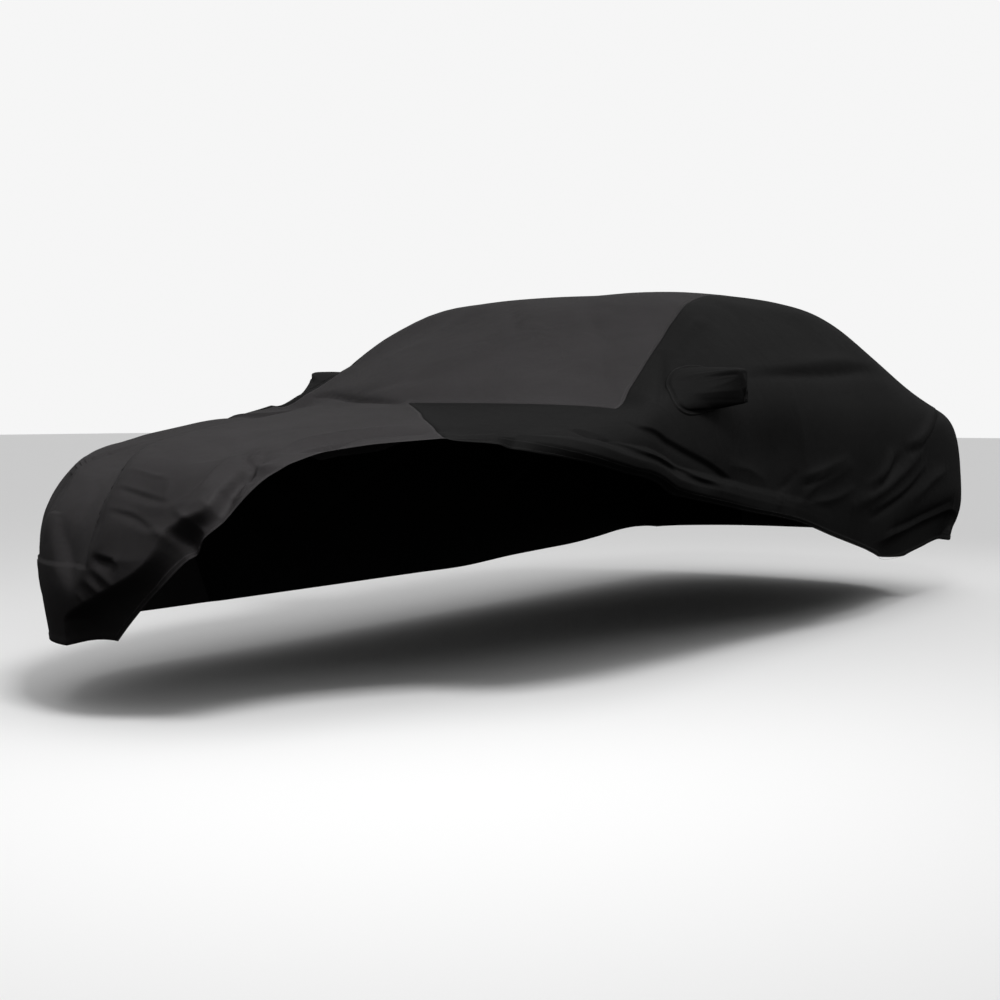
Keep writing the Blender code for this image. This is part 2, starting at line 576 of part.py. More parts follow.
make_panel("top_panel", top_blocks(), charcoal, cover)
left_panel = make_panel("left_side_panel", left_blocks(), black, cover)
right_panel = make_panel("right_side_panel", right_blocks(), black, cover)
cut(left_panel, make_hole_cutter("left_pocket_hole", 1, cutters))
cut(right_panel, make_hole_cutter("right_pocket_hole", -1, cutters))
make_pocket("left_mirror_pocket", 1, black, cover)
make_pocket("right_mirror_pocket", -1, black, cover)
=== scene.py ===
import math
from collections import namedtuple

import bmesh
import bpy
import numpy as np
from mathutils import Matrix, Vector, noise


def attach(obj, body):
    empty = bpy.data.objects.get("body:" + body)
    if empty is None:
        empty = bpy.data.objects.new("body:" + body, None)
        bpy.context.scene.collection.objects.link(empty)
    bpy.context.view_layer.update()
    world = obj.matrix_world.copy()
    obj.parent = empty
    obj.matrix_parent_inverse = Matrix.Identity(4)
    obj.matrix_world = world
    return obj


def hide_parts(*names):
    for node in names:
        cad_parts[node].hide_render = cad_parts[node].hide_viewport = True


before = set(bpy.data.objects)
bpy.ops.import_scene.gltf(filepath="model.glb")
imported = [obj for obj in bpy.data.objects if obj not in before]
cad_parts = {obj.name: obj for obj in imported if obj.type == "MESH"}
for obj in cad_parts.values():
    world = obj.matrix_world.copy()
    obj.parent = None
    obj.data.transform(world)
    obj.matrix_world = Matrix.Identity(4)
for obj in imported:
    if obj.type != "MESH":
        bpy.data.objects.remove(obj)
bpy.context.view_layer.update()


# ================================================================ TOP PANEL
# The charcoal cloth over nose, hood, windscreen, roof and tail: polyester with a pebbled weave, cut in one
# length to a close fit. Its hem is turned under twice and sewn with two rows of thread. The same surface
# carries the side panels, so its stations, girths and folds are laid out here.
ROOF_TOP_Y = 0.38
ROOF_TOP_Z = 1.45
SOLID_CLOTH = 0.002
ORIGIN = np.array([0.0, ROOF_TOP_Y, ROOF_TOP_Z - SOLID_CLOTH])

SECTION_COLUMNS = (
    "name y top rail_lag rail_x rail_z side_lag belt_x belt_z skirt_x skirt_z hem_x hem_z")
Section = namedtuple("Section", SECTION_COLUMNS)

# y and top place the centre line, measured from mid-length and the ground. rail_lag and side_lag say
# how far the rail and the bottom hem lie behind the centre line, which rounds the nose and the tail.
SECTIONS = [Section(*row) for row in (
    ("front hem", -2.56, 0.22, 0.05, 0.48, 0.22, 0.70, 0.80, 0.21, 0.88, 0.20, 0.91, 0.20),
    ("bumper", -2.62, 0.42, 0.06, 0.46, 0.42, 0.76, 0.81, 0.41, 0.90, 0.32, 0.92, 0.20),
    ("grille", -2.60, 0.60, 0.07, 0.48, 0.60, 0.84, 0.84, 0.58, 0.92, 0.40, 0.93, 0.20),
    ("nose top", -2.51, 0.74, 0.09, 0.50, 0.73, 0.88, 0.86, 0.71, 0.93, 0.44, 0.93, 0.20),
    ("hood front", -2.36, 0.81, 0.07, 0.56, 0.79, 0.86, 0.88, 0.77, 0.94, 0.46, 0.93, 0.20),
    ("hood mid", -2.05, 0.87, 0.05, 0.62, 0.84, 0.68, 0.91, 0.80, 0.94, 0.48, 0.93, 0.20),
    ("hood rear", -1.70, 0.92, 0.06, 0.66, 0.88, 0.40, 0.92, 0.83, 0.94, 0.50, 0.92, 0.20),
    ("fender", -1.45, 0.95, 0.14, 0.69, 0.92, 0.24, 0.92, 0.87, 0.945, 0.52, 0.92, 0.20),
    ("cowl", -1.34, 0.97, 0.26, 0.71, 0.95, 0.22, 0.91, 0.90, 0.945, 0.54, 0.92, 0.20),
    ("screen low", -1.22, 1.04, 0.27, 0.70, 1.02, 0.20, 0.90, 0.92, 0.945, 0.55, 0.92, 0.20),
    ("screen", -0.86, 1.21, 0.22, 0.64, 1.18, 0.12, 0.90, 0.95, 0.945, 0.56, 0.92, 0.20),
    ("header", -0.47, 1.36, 0.13, 0.59, 1.32, 0.04, 0.905, 0.97, 0.945, 0.57, 0.92, 0.20),
    ("roof front", 0.00, 1.43, 0.05, 0.57, 1.375, 0.00, 0.91, 0.98, 0.95, 0.58, 0.92, 0.20),
    ("roof", 0.38, 1.45, 0.00, 0.57, 1.39, 0.00, 0.91, 0.98, 0.95, 0.58, 0.92, 0.20),
    ("roof rear", 0.78, 1.43, 0.00, 0.595, 1.395, 0.00, 0.91, 0.98, 0.95, 0.58, 0.92, 0.22),
    ("back header", 1.12, 1.38, -0.04, 0.61, 1.365, -0.04, 0.91, 0.98, 0.945, 0.58, 0.92, 0.23),
    ("back glass", 1.50, 1.27, -0.10, 0.625, 1.26, -0.10, 0.90, 0.97, 0.94, 0.58, 0.92, 0.24),
    ("deck front", 1.86, 1.13, -0.14, 0.63, 1.125, -0.20, 0.89, 0.95, 0.93, 0.58, 0.91, 0.26),
    ("deck", 2.22, 1.04, -0.10, 0.62, 1.025, -0.34, 0.88, 0.91, 0.93, 0.58, 0.91, 0.28),
    ("deck rear", 2.50, 0.99, -0.07, 0.60, 0.97, -0.46, 0.86, 0.87, 0.92, 0.58, 0.90, 0.29),
    ("tail top", 2.63, 0.88, -0.06, 0.59, 0.87, -0.50, 0.84, 0.79, 0.91, 0.55, 0.89, 0.29),
    ("tail", 2.68, 0.68, -0.06, 0.57, 0.67, -0.50, 0.82, 0.62, 0.90, 0.47, 0.87, 0.29),
    ("tail low", 2.67, 0.48, -0.06, 0.54, 0.48, -0.485, 0.79, 0.46, 0.86, 0.38, 0.84, 0.29),
    ("back hem", 2.57, 0.29, -0.05, 0.47, 0.29, -0.385, 0.71, 0.29, 0.79, 0.29, 0.82, 0.29),
)]
BELT_SHARE = 0.55           # share of side_lag that the belt takes
SKIRT_SHARE = 0.82          # and the skirt
LAST = len(SECTIONS) - 1
HEM = 4.0                   # girth of the bottom hem
NORMAL_STEP = 0.02          # step in station and girth when a normal is measured

LIFT = 5.17                 # station where the lifted hem leaves the hood
COWL = 7.93                 # station of the seam at the foot of the windscreen
FENDER_EDGE = -1.75         # girth of the right side seam beside the hood

NOSE_HEM = [                # lifted hem, from the front hem up the nose and along the hood
    (0.00, -0.44), (0.59, -0.12), (1.02, 0.09), (1.68, 0.36), (2.01, 0.50), (2.47, 0.60),
    (3.42, 0.68), (4.34, 0.71), (4.74, 0.81), (LIFT, 0.97)]
SIDE_HEM = [                # from the hood over the fender and down the side to the bottom
    (LIFT, 0.97), (5.23, 1.27), (4.90, 1.55), (4.74, 1.85), (5.23, 2.12), (6.45, 2.40), (8.39, 2.64),
    (9.44, 2.79), (11.2, 3.05), (13.0, 3.42), (14.6, 3.80), (16.4, HEM), (LAST, HEM)]
SIDE_HEM_SPLIT = 6          # the point of SIDE_HEM that lies below the foot of the windscreen
HOOD_SEAM = [               # edge of the black corner that reaches over the hood
    (LIFT, 0.97), (5.63, 0.71), (6.05, 0.48), (6.42, 0.35), (6.98, 0.18), (7.5, 0.10), (COWL, 0.04)]
CENTRE_LINE = [(COWL, 0.04), (9.5, 0.0), (LAST, 0.0)]
ROOF_SEAM = [               # from the foot of the windscreen up the pillar and back over the roof side
    (COWL, 1.04), (9.0, 1.00), (10.4, 1.01), (10.9, 1.00), (11.4, 0.93), (12.2, 0.80), (12.9, 0.74),
    (15.0, 0.74), (18.0, 0.86), (LAST, 0.92)]
RIGHT_SEAM = [              # on the other side it stays beside the hood
    (LIFT, FENDER_EDGE), (6.6, -1.76), (7.4, -1.74), (COWL, -1.64), (8.4, -1.50), (9.0, -1.34),
    (9.6, -1.22), (10.4, -1.16), (11.4, -1.05), (12.4, -0.90), (13.4, -0.78), (15.0, -0.74),
    (18.0, -0.86), (LAST, -0.92)]

# Each fold is a soft ridge, or a trough where height is negative, along a path of stations and girths.
Fold = namedtuple("Fold", "name width height path")
FOLDS = [Fold(*row) for row in (
    ("hood ridge", 0.10, 0.016, [(7.4, -0.70), (5.8, -0.42), (5.1, -0.46), (4.2, -0.44)]),
    ("nose ridge", 0.07, 0.022, [(4.2, -0.44), (3.4, -0.30), (2.4, -0.27), (1.5, -0.33), (0.8, -0.55)]),
    ("nose gather", 0.030, -0.016, [(3.9, 0.44), (3.3, 0.46), (2.3, 0.52)]),
    ("nose gather upper", 0.030, -0.014, [(4.3, 0.34), (3.6, 0.52)]),
    ("hood edge trough", 0.055, -0.020, [(4.1, 0.50), (4.8, 0.46), (5.3, 0.57), (5.6, 0.76)]),
    ("hood soft trough", 0.080, -0.014, [(3.7, 0.20), (4.4, 0.04), (5.2, -0.12)]),
    ("nose swag one", 0.022, 0.004, [(2.47, -0.20), (2.37, 0.11), (2.5, 0.36)]),
    ("nose swag two", 0.022, 0.004, [(2.07, -0.21), (1.91, 0.11), (2.0, 0.30)]),
    ("nose swag three", 0.022, 0.004, [(1.58, -0.32), (1.45, -0.15), (1.5, 0.08)]),
    ("door fold upper", 0.035, 0.007, [(11.9, 1.63), (13.4, 1.62), (15.4, 1.60)]),
    ("door fold lower", 0.030, -0.007, [(11.8, 1.78), (13.4, 1.74), (15.9, 1.66)]),
    ("door hollow", 0.16, -0.030, [(10.6, 2.45), (11.4, 2.49), (12.2, 2.40)]),
    ("rear fold one", 0.042, 0.026, [(17.3, 2.09), (16.4, 2.40), (15.7, 2.63)]),
    ("rear fold two", 0.038, 0.026, [(16.1, 2.60), (14.8, 2.90), (13.5, 3.11)]),
    ("rear fold three", 0.032, 0.018, [(14.9, 2.53), (14.6, 2.70), (14.3, 2.93)]),
    ("rear fold four", 0.030, 0.018, [(13.4, 2.67), (12.8, 2.76), (12.1, 2.85)]),
    ("rear fold five", 0.036, 0.020, [(17.8, 2.80), (16.8, 2.93), (15.8, 3.17)]),
    ("rear tuck", 0.060, -0.026, [(19.4, 3.42), (17.4, 3.50), (15.3, 3.56)]),
    ("right hood ridge", 0.16, 0.034, [(5.0, -1.20), (6.1, -1.38), (6.8, -1.32), (7.4, -1.30)]),
    ("right cowl hollow", 0.11, -0.022, [(8.3, -1.42), (8.7, -1.38), (9.2, -1.36)]),
    ("right pillar ridge", 0.13, 0.036, [(9.8, -1.22), (10.2, -1.14), (10.6, -1.00), (10.9, -0.50)]),
    ("right fold one", 0.060, 0.022, [(16.8, -2.20), (15.6, -2.60), (14.2, -3.00)]),
    ("right fold two", 0.060, 0.022, [(7.0, -2.40), (8.4, -2.80), (9.8, -3.30)]),
    ("right fold three", 0.060, 0.018, [(11.6, -1.70), (13.4, -1.72), (15.4, -1.66)]),
    ("far corner fold", 0.060, 0.024, [(3.2, -1.70), (2.0, -1.60), (0.6, -1.50)]),
    ("far bumper fold", 0.060, -0.020, [(2.6, -2.30), (1.8, -2.10), (0.9, -2.00)]),
    ("tail fold one", 0.060, 0.020, [(20.0, -0.30), (21.2, -0.55), (22.4, -0.60)]),
    ("tail fold two", 0.060, 0.020, [(19.8, 1.20), (21.0, 1.45), (22.3, 1.50)]),
)]
FOLD_STEPS = 14             # points along a fold's path
FOLD_END = 0.04             # share of a fold's length that is level at each end
FOLD_FADE = 0.6             # and how fast it fades towards them
FOLD_CRISP = 0.7            # share of a narrow fold's height that comes to a crisp line
ROLL_END = 10               # the hem is rolled along this many points of SIDE_HEM
ROLL_STEPS = 60             # points along the roll
ROLL_RISE = 0.17            # share of its length over which it builds up
ROLL_FALL = 0.25            # and dies away
ROLL_REACH = (0.0, 0.022, 0.048, 0.075, 0.100, 0.130, 0.170)     # distance from the side hem
ROLL_HEIGHT = (-0.022, 0.010, 0.018, 0.012, -0.008, -0.004, 0.0)  # and how far the cloth stands out

# Creases finer than the solid's folds, laid the same way.
CREASES = [Fold(*row) for row in (
    ("nose crease one", 0.011, 0.0060, [(2.73, -0.28), (2.67, -0.11), (2.53, 0.16)]),
    ("nose crease one, lower side", 0.016, -0.0070, [(2.66, -0.26), (2.60, -0.10), (2.46, 0.13)]),
    ("nose crease two", 0.011, 0.0060, [(2.30, -0.27), (2.24, -0.08), (2.01, 0.12)]),
    ("nose crease two, lower side", 0.016, -0.0070, [(2.23, -0.26), (2.17, -0.07), (1.94, 0.10)]),
    ("nose crease three", 0.012, 0.0080, [(1.52, -0.33), (1.49, -0.21), (1.38, -0.13)]),
    ("nose dimple", 0.024, -0.0200, [(1.50, -0.33), (1.41, -0.27), (1.42, -0.16)]),
    ("nose crease top", 0.012, 0.0050, [(3.14, -0.30), (3.06, -0.10), (3.02, 0.06)]),
    ("nose crease upright", 0.013, 0.0060, [(3.06, 0.05), (2.78, 0.09), (2.48, 0.12)]),
    ("chin crease one", 0.014, 0.0085, [(1.34, -0.36), (1.16, -0.26), (1.00, -0.18)]),
    ("chin crease two", 0.014, 0.0080, [(1.14, -0.44), (1.00, -0.36), (0.86, -0.30)]),
    ("chin crease three", 0.013, 0.0070, [(0.92, -0.54), (0.80, -0.48), (0.68, -0.44)]),
    ("chin hollow one", 0.018, -0.0070, [(1.24, -0.38), (1.08, -0.30), (0.94, -0.24)]),
    ("chin hollow two", 0.018, -0.0070, [(1.04, -0.48), (0.92, -0.41), (0.80, -0.36)]),
    ("hood strip", 0.018, 0.0160, [(4.20, 0.63), (4.60, 0.59), (5.00, 0.61), (5.35, 0.76)]),
    ("hood crescent rim", 0.022, 0.0110, [(4.25, 0.42), (4.80, 0.36), (5.35, 0.46), (5.70, 0.58)]),
    ("hood gather one", 0.024, 0.0130, [(4.10, 0.22), (3.69, 0.28), (3.19, 0.33), (2.80, 0.33),
                                           (2.30, 0.22)]),
    ("hood gather two", 0.014, -0.0150, [(3.13, 0.55), (3.59, 0.47), (4.01, 0.40)]),
    ("hood gather three", 0.020, 0.0200, [(4.11, 0.35), (3.60, 0.50), (3.22, 0.53), (2.73, 0.56)]),
    ("hood gather four", 0.016, -0.0140, [(4.30, 0.26), (4.02, 0.32), (3.76, 0.42), (3.50, 0.56)]),
    ("hood soft one", 0.060, 0.0070, [(6.9, -0.45), (6.1, -0.15), (5.2, 0.10)]),
    ("hood soft two", 0.050, -0.0060, [(7.2, -0.25), (6.3, 0.02), (5.6, 0.20)]),
    ("hood soft three", 0.045, 0.0060, [(5.1, -0.35), (4.7, -0.10), (4.3, 0.12)]),
    ("tuck crease one", 0.014, 0.0050, [(2.95, 0.44), (2.80, 0.52), (2.66, 0.58)]),
    ("tuck crease two", 0.014, 0.0050, [(2.60, 0.36), (2.46, 0.44), (2.34, 0.52)]),
    ("tuck crease three", 0.012, 0.0080, [(2.36, 0.22), (2.18, 0.34), (2.02, 0.44)]),
    ("tuck crease four", 0.014, 0.0070, [(2.02, 0.10), (1.84, 0.22), (1.66, 0.32)]),
    ("screen fold one", 0.014, -0.0100, [(11.09, -0.20), (10.33, 0.16), (9.81, 0.33)]),
    ("screen fold one, beside", 0.030, 0.0040, [(11.00, -0.28), (10.24, 0.08), (9.72, 0.25)]),
    ("screen fold two", 0.014, -0.0100, [(11.15, 0.33), (10.17, 0.61), (9.34, 0.87)]),
    ("screen fold two, beside", 0.026, 0.0040, [(11.06, 0.25), (10.08, 0.53), (9.25, 0.79)]),
    ("screen fold three", 0.020, 0.0045, [(10.9, 0.62), (10.6, 0.74), (10.3, 0.88)]),
    ("screen fold four", 0.040, 0.0050, [(9.4, -0.78), (9.8, -0.55), (10.1, -0.38)]),
    ("screen fold five", 0.045, -0.0045, [(8.4, -0.50), (9.0, -0.20), (9.3, 0.20)]),
    ("screen fold six", 0.014, -0.0090, [(10.04, 0.59), (9.28, 0.79), (8.56, 0.91)]),
    ("roof fold one", 0.050, 0.0040, [(11.8, 0.10), (12.6, 0.35), (13.4, 0.65)]),
    ("roof fold two", 0.050, -0.0040, [(11.6, -0.60), (13.0, -0.50), (14.4, -0.62)]),
    ("far hood fold one", 0.050, 0.0070, [(6.8, -1.15), (5.6, -0.95), (4.6, -0.98)]),
    ("far nose fold one", 0.040, 0.0090, [(3.9, -1.45), (2.8, -1.10), (1.6, -1.05)]),
    ("far nose fold two", 0.045, -0.0090, [(3.5, -0.80), (2.4, -0.66), (1.2, -0.78)]),
    ("far nose fold three", 0.040, 0.0080, [(2.3, -1.50), (1.5, -1.24), (0.7, -1.20)]),
    ("glass fold one", 0.050, 0.0060, [(15.2, -0.50), (16.2, -0.15), (17.4, -0.05)]),
    ("glass fold two", 0.045, -0.0060, [(15.6, 0.55), (16.6, 0.30), (17.6, 0.36)]),
    ("deck fold", 0.050, 0.0060, [(18.2, -0.60), (19.0, 0.05), (19.4, 0.60)]),
    ("tail fold left", 0.040, 0.0090, [(20.2, 0.70), (21.2, 0.42), (22.2, 0.34)]),
    ("tail fold right", 0.040, -0.0090, [(20.0, -0.75), (21.2, -0.90), (22.5, -0.85)]),
    ("cowl line", 0.016, -0.0240, [(9.05, -1.20), (8.36, -0.56), (8.19, -0.19), (8.00, 0.01)]),
    ("pillar fold", 0.020, 0.0080, [(11.3, 1.16), (10.6, 1.20), (10.0, 1.26)]),
    ("pillar hollow", 0.030, -0.0100, [(11.1, 1.24), (10.5, 1.30), (10.0, 1.36)]),
    ("pocket pull above", 0.020, 0.0080, [(10.9, 1.22), (10.4, 1.32), (10.0, 1.46)]),
    ("pocket valley", 0.024, -0.0220, [(9.95, 1.10), (9.62, 1.26), (9.40, 1.46), (9.12, 1.84)]),
    ("door sheen fold", 0.060, 0.0070, [(12.0, 1.10), (13.1, 1.08), (14.6, 1.20)]),
    ("door crease above", 0.024, 0.0080, [(11.30, 1.69), (12.70, 1.68), (14.50, 1.56)]),
    ("door crease", 0.020, -0.0120, [(11.10, 1.78), (12.54, 1.76), (13.72, 1.73), (15.63, 1.59)]),
    ("door crease two", 0.026, 0.0070, [(11.4, 2.75), (11.0, 2.62), (10.4, 2.56)]),
    ("door pucker one", 0.014, -0.0100, [(11.98, 2.68), (11.75, 2.81), (11.58, 2.85)]),
    ("door pucker two", 0.014, 0.0070, [(11.70, 2.78), (11.62, 2.92), (11.50, 3.04)]),
    ("door pucker three", 0.018, 0.0090, [(12.60, 2.72), (12.30, 2.88), (11.90, 3.04)]),
    ("rear crease one", 0.026, 0.0150, [(18.10, 1.68), (16.30, 2.34), (15.40, 2.50)]),
    ("rear crease one, lower side", 0.020, -0.0180, [(18.29, 1.75), (16.42, 2.44), (15.46, 2.60)]),
    ("rear crease two", 0.022, 0.0120, [(15.20, 2.50), (14.50, 2.76), (13.80, 2.91)]),
    ("rear crease two, lower side", 0.018, -0.0160, [(15.33, 2.59), (14.64, 2.85), (13.92, 3.00)]),
    ("rear crease four", 0.020, 0.0110, [(13.40, 2.58), (12.50, 2.70), (12.00, 2.76)]),
    ("rear crease four, lower side", 0.016, -0.0150, [(13.33, 2.68), (12.50, 2.80), (12.01, 2.85)]),
    ("rear crease five", 0.024, 0.0130, [(16.60, 2.68), (15.30, 3.01), (14.00, 3.20)]),
    ("rear crease five, lower side", 0.020, -0.0160, [(16.52, 2.79), (15.33, 3.12), (14.05, 3.31)]),
    ("rear crease six", 0.026, -0.0130, [(19.08, 3.31), (16.42, 3.45), (14.77, 3.51)]),
    ("rear crease seven", 0.022, 0.0100, [(13.60, 2.90), (12.90, 3.00), (12.10, 3.02)]),
    ("right crease one", 0.030, 0.0100, [(16.4, -2.00), (15.4, -2.40), (14.3, -2.80)]),
    ("right crease two", 0.030, -0.0100, [(15.0, -2.50), (14.2, -2.90), (13.0, -3.20)]),
    ("right crease three", 0.030, 0.0100, [(12.4, -2.40), (11.4, -2.80), (10.0, -3.30)]),
    ("right crease four", 0.030, 0.0090, [(7.6, -2.10), (8.8, -2.50), (10.4, -2.90)]),
    ("right crease five", 0.026, -0.0090, [(9.2, -2.30), (10.2, -2.70), (11.2, -3.20)]),
    ("right pocket pull", 0.022, 0.0080, [(10.9, -1.22), (10.4, -1.34), (10.0, -1.46)]),
)]
CREASE_STEPS = 12           # points along a crease's path
CREASE_FADE = 0.7           # how fast it fades towards its ends
CREASE_CRISP = 1.0
BROAD_FOLD = 0.06           # folds from this width up are rounded, with no crisp line
CRISP_TIP = 0.25            # how far a crisp line's tip is rounded off, in shares of its width
CRISP_SLOPE = 1.7           # and how steeply it falls away

# Where the cloth breaks over an edge, on the side of greater girth where side is 1 and of lesser girth where
# it is -1. A deep break falls away by its depth within its reach and stays down. A shallow one comes back up
# further out. rise and fall are the shares of the path over which the break builds up and dies away.
Break = namedtuple("Break", "name side depth reach rise fall path")
BREAKS = [Break(*row) for row in (
    ("nose turned under", 1, 0.078, 0.027, 0.0, 0.32,
     [(0.00, -0.78), (0.30, -0.76), (0.49, -0.72), (0.79, -0.44), (1.25, -0.04), (1.58, 0.12),
      (1.95, 0.21), (2.25, 0.32), (2.44, 0.46)]),
    ("rear turned under", 1, 0.060, 0.034, 0.25, 0.55,
     [(14.2, 3.64), (15.3, 3.58), (17.4, 3.51), (19.0, 3.46), (20.4, 3.46), (LAST, 3.50)]),
    ("gather step", 1, 0.049, 0.031, 0.12, 0.12,
     [(1.91, 0.17), (2.17, 0.29), (2.43, 0.43), (2.80, 0.44), (3.19, 0.44), (3.69, 0.40)]),
    ("hood crescent step", 1, 0.0499, 0.020, 0.15, 0.35,
     [(4.21, 0.55), (4.61, 0.51), (4.94, 0.48), (5.17, 0.52), (5.36, 0.60), (5.60, 0.72)]),
    ("fender fold", -1, 0.015, 0.011, 0.15, 0.10,
     [(6.25, 1.36), (6.15, 1.60), (6.12, 1.85), (6.32, 2.04), (7.01, 2.25), (8.16, 2.40),
      (9.15, 2.51), (9.58, 2.61), (10.20, 2.72)]),
    ("upper fender fold", 1, 0.012, 0.012, 0.35, 0.10,
     [(7.17, 1.67), (7.44, 1.96), (8.79, 2.20), (9.51, 2.39), (10.04, 2.53), (10.56, 2.68)]),
    ("hood break", -1, 0.040, 0.110, 0.15, 0.0,
     [(7.8, -0.76), (7.44, -0.71), (6.5, -0.50), (5.8, -0.40), (5.1, -0.48), (4.3, -0.47)]),
    ("nose break", -1, 0.034, 0.090, 0.0, 0.10,
     [(4.3, -0.47), (3.65, -0.33), (2.93, -0.27), (2.43, -0.27), (1.97, -0.25), (1.51, -0.33),
      (1.05, -0.47), (0.72, -0.61)]),
)]
BREAK_STEPS = 30            # points along a break's path
BREAK_FIELD = 0.35          # a break is worked out this far from its path
BREAK_ROUND = 0.006         # the edge is rounded by at least this much
BREAK_CRISP_REACH = 0.035   # and by as much as the reach is longer than this
DEEP_BREAK = 0.05           # depth from which the cloth stays down
SHALLOW_SWELL = 2.2         # brings a shallow break close to its full depth

SEAM_DIP = 0.0012           # the two edges of a seam draw in by this much
SEAM_DIP_WIDTH = 0.004
SEAM_TAUT = 0.05            # the cloth's slack dies away this far from a seam
HEM_DEPTH = 0.020           # the hem is turned under this far
HEM_STEP = 0.003            # and its edge is this wide
HEM_FLARE = 0.0040          # the lifted front hem turns back out by this much
HEM_RISE = 0.0022           # and stands proud by its extra layers
RIPPLES = ((0.62, 0.0035), (0.23, 0.0014))      # wavelength and height of the slack all over the cloth
CLOTH_DEPTH = 0.0012        # the real cloth is thinner than the solid
THREAD_STATIONS, THREAD_GIRTHS = 93, 33         # grid on which the threads' lengths are measured


def hermite(points, knots, at):
    """Smooth curve through points, read at the given knot values."""
    points = np.asarray(points, float)
    knots = np.asarray(knots, float)
    spans = np.diff(knots)
    column = (-1,) + (1,) * (points.ndim - 1)
    slopes = np.diff(points, axis=0) / spans.reshape(column)
    share = (spans[1:] / (spans[1:] + spans[:-1])).reshape(column)
    tangents = np.concatenate([
        slopes[:1], slopes[:-1] * share + slopes[1:] * (1.0 - share), slopes[-1:]])
    i = np.clip(np.searchsorted(knots, at, side="right") - 1, 0, len(spans) - 1)
    h = spans[i].reshape(column)
    u = (at - knots[i]).reshape(column) / h
    rise = u * u * (3.0 - 2.0 * u)
    return (points[i] * (1.0 - rise) + points[i + 1] * rise
            + h * tangents[i] * u * (1.0 - u) ** 2 - h * tangents[i + 1] * u * u * (1.0 - u))


def section_corners():
    """Centre, rail, belt, skirt and hem of every section, and the knot value of each section."""
    rows = []
    for s in SECTIONS:
        rows.append((
            (0.0, s.y, s.top),
            (s.rail_x, s.y + s.rail_lag, s.rail_z),
            (s.belt_x, s.y + s.side_lag * BELT_SHARE, s.belt_z),
            (s.skirt_x, s.y + s.side_lag * SKIRT_SHARE, s.skirt_z),
            (s.hem_x, s.y + s.side_lag, s.hem_z)))
    corners = np.array(rows)
    steps = np.sqrt(np.linalg.norm(np.diff(corners[:, 0], axis=0), axis=1))
    return corners, np.concatenate([[0.0], np.cumsum(steps)])


CORNERS, CORNER_KNOTS = section_corners()


def around(corners, girth):
    """Points at the given girths of sections whose five corners are given."""
    mirrored_rail = corners[:, 1:2] * np.array([-1.0, 1.0, 1.0])
    chain = np.concatenate([mirrored_rail, corners], axis=1)
    side = np.where(girth < 0.0, -1.0, 1.0)
    reach = np.abs(girth)
    i = np.clip(np.floor(reach).astype(int), 0, 3)
    n = np.arange(len(reach))
    before, start, end = chain[n, i], chain[n, i + 1], chain[n, i + 2]
    after = chain[n, np.minimum(i + 3, 5)]
    u = (reach - i)[:, None]
    d0 = np.sqrt(np.maximum(np.linalg.norm(start - before, axis=1, keepdims=True), 1e-6))
    d1 = np.sqrt(np.maximum(np.linalg.norm(end - start, axis=1, keepdims=True), 1e-6))
    d2 = np.sqrt(np.maximum(np.linalg.norm(after - end, axis=1, keepdims=True), 1e-6))
    leave = d1 * ((start - before) / d0 - (end - before) / (d0 + d1) + (end - start) / d1)
    arrive = d1 * ((end - start) / d1 - (after - start) / (d1 + d2) + (after - end) / d2)
    arrive = np.where((i == 3)[:, None], end - start, arrive)
    rise = u * u * (3.0 - 2.0 * u)
    points = (start * (1.0 - rise) + end * rise + leave * u * (1.0 - u) ** 2
              - arrive * u * u * (1.0 - u))
    points[:, 0] *= side
    return points


def stretched(places):
    """The cover pulled smooth, before its folds: one point for each station and girth."""
    station = places[:, 0]
    knots = np.interp(station, np.arange(LAST + 1), CORNER_KNOTS)
    points = around(hermite(CORNERS, CORNER_KNOTS, knots), places[:, 1])
    return points - ORIGIN


def normals_of(surface, places):
    """Unit normals, pointing out, of a surface that gives a point for each station and girth."""
    low = np.array([0.0, -HEM]) + NORMAL_STEP
    high = np.array([LAST, HEM]) - NORMAL_STEP
    places = np.clip(places, low, high)
    along = surface(places + (NORMAL_STEP, 0.0)) - surface(places - (NORMAL_STEP, 0.0))
    down = surface(places + (0.0, NORMAL_STEP)) - surface(places - (0.0, NORMAL_STEP))
    normal = np.cross(down, along)
    return normal / np.linalg.norm(normal, axis=1, keepdims=True)


def path_places(path, count):
    """Stations and girths at even steps along a path of a few given ones."""
    path = np.asarray(path, float)
    knots = np.arange(len(path))
    return hermite(path, knots, np.linspace(0.0, len(path) - 1.0, count))


def distance_to(points, line):
    """Distance of each point from a polyline, and the share of the line where it is nearest."""
    best = np.full(len(points), 1e9)
    share = np.zeros(len(points))
    for k in range(len(line) - 1):
        run = line[k + 1] - line[k]
        t = np.clip(((points - line[k]) @ run) / (run @ run), 0.0, 1.0)
        away = np.linalg.norm(points - line[k] - t[:, None] * run, axis=1)
        nearer = away < best
        best = np.where(nearer, away, best)
        share = np.where(nearer, (k + t) / (len(line) - 1), share)
    return best, share


def crossed(path, count):
    """A path as points on the stretched surface."""
    return stretched(path_places(path, count))


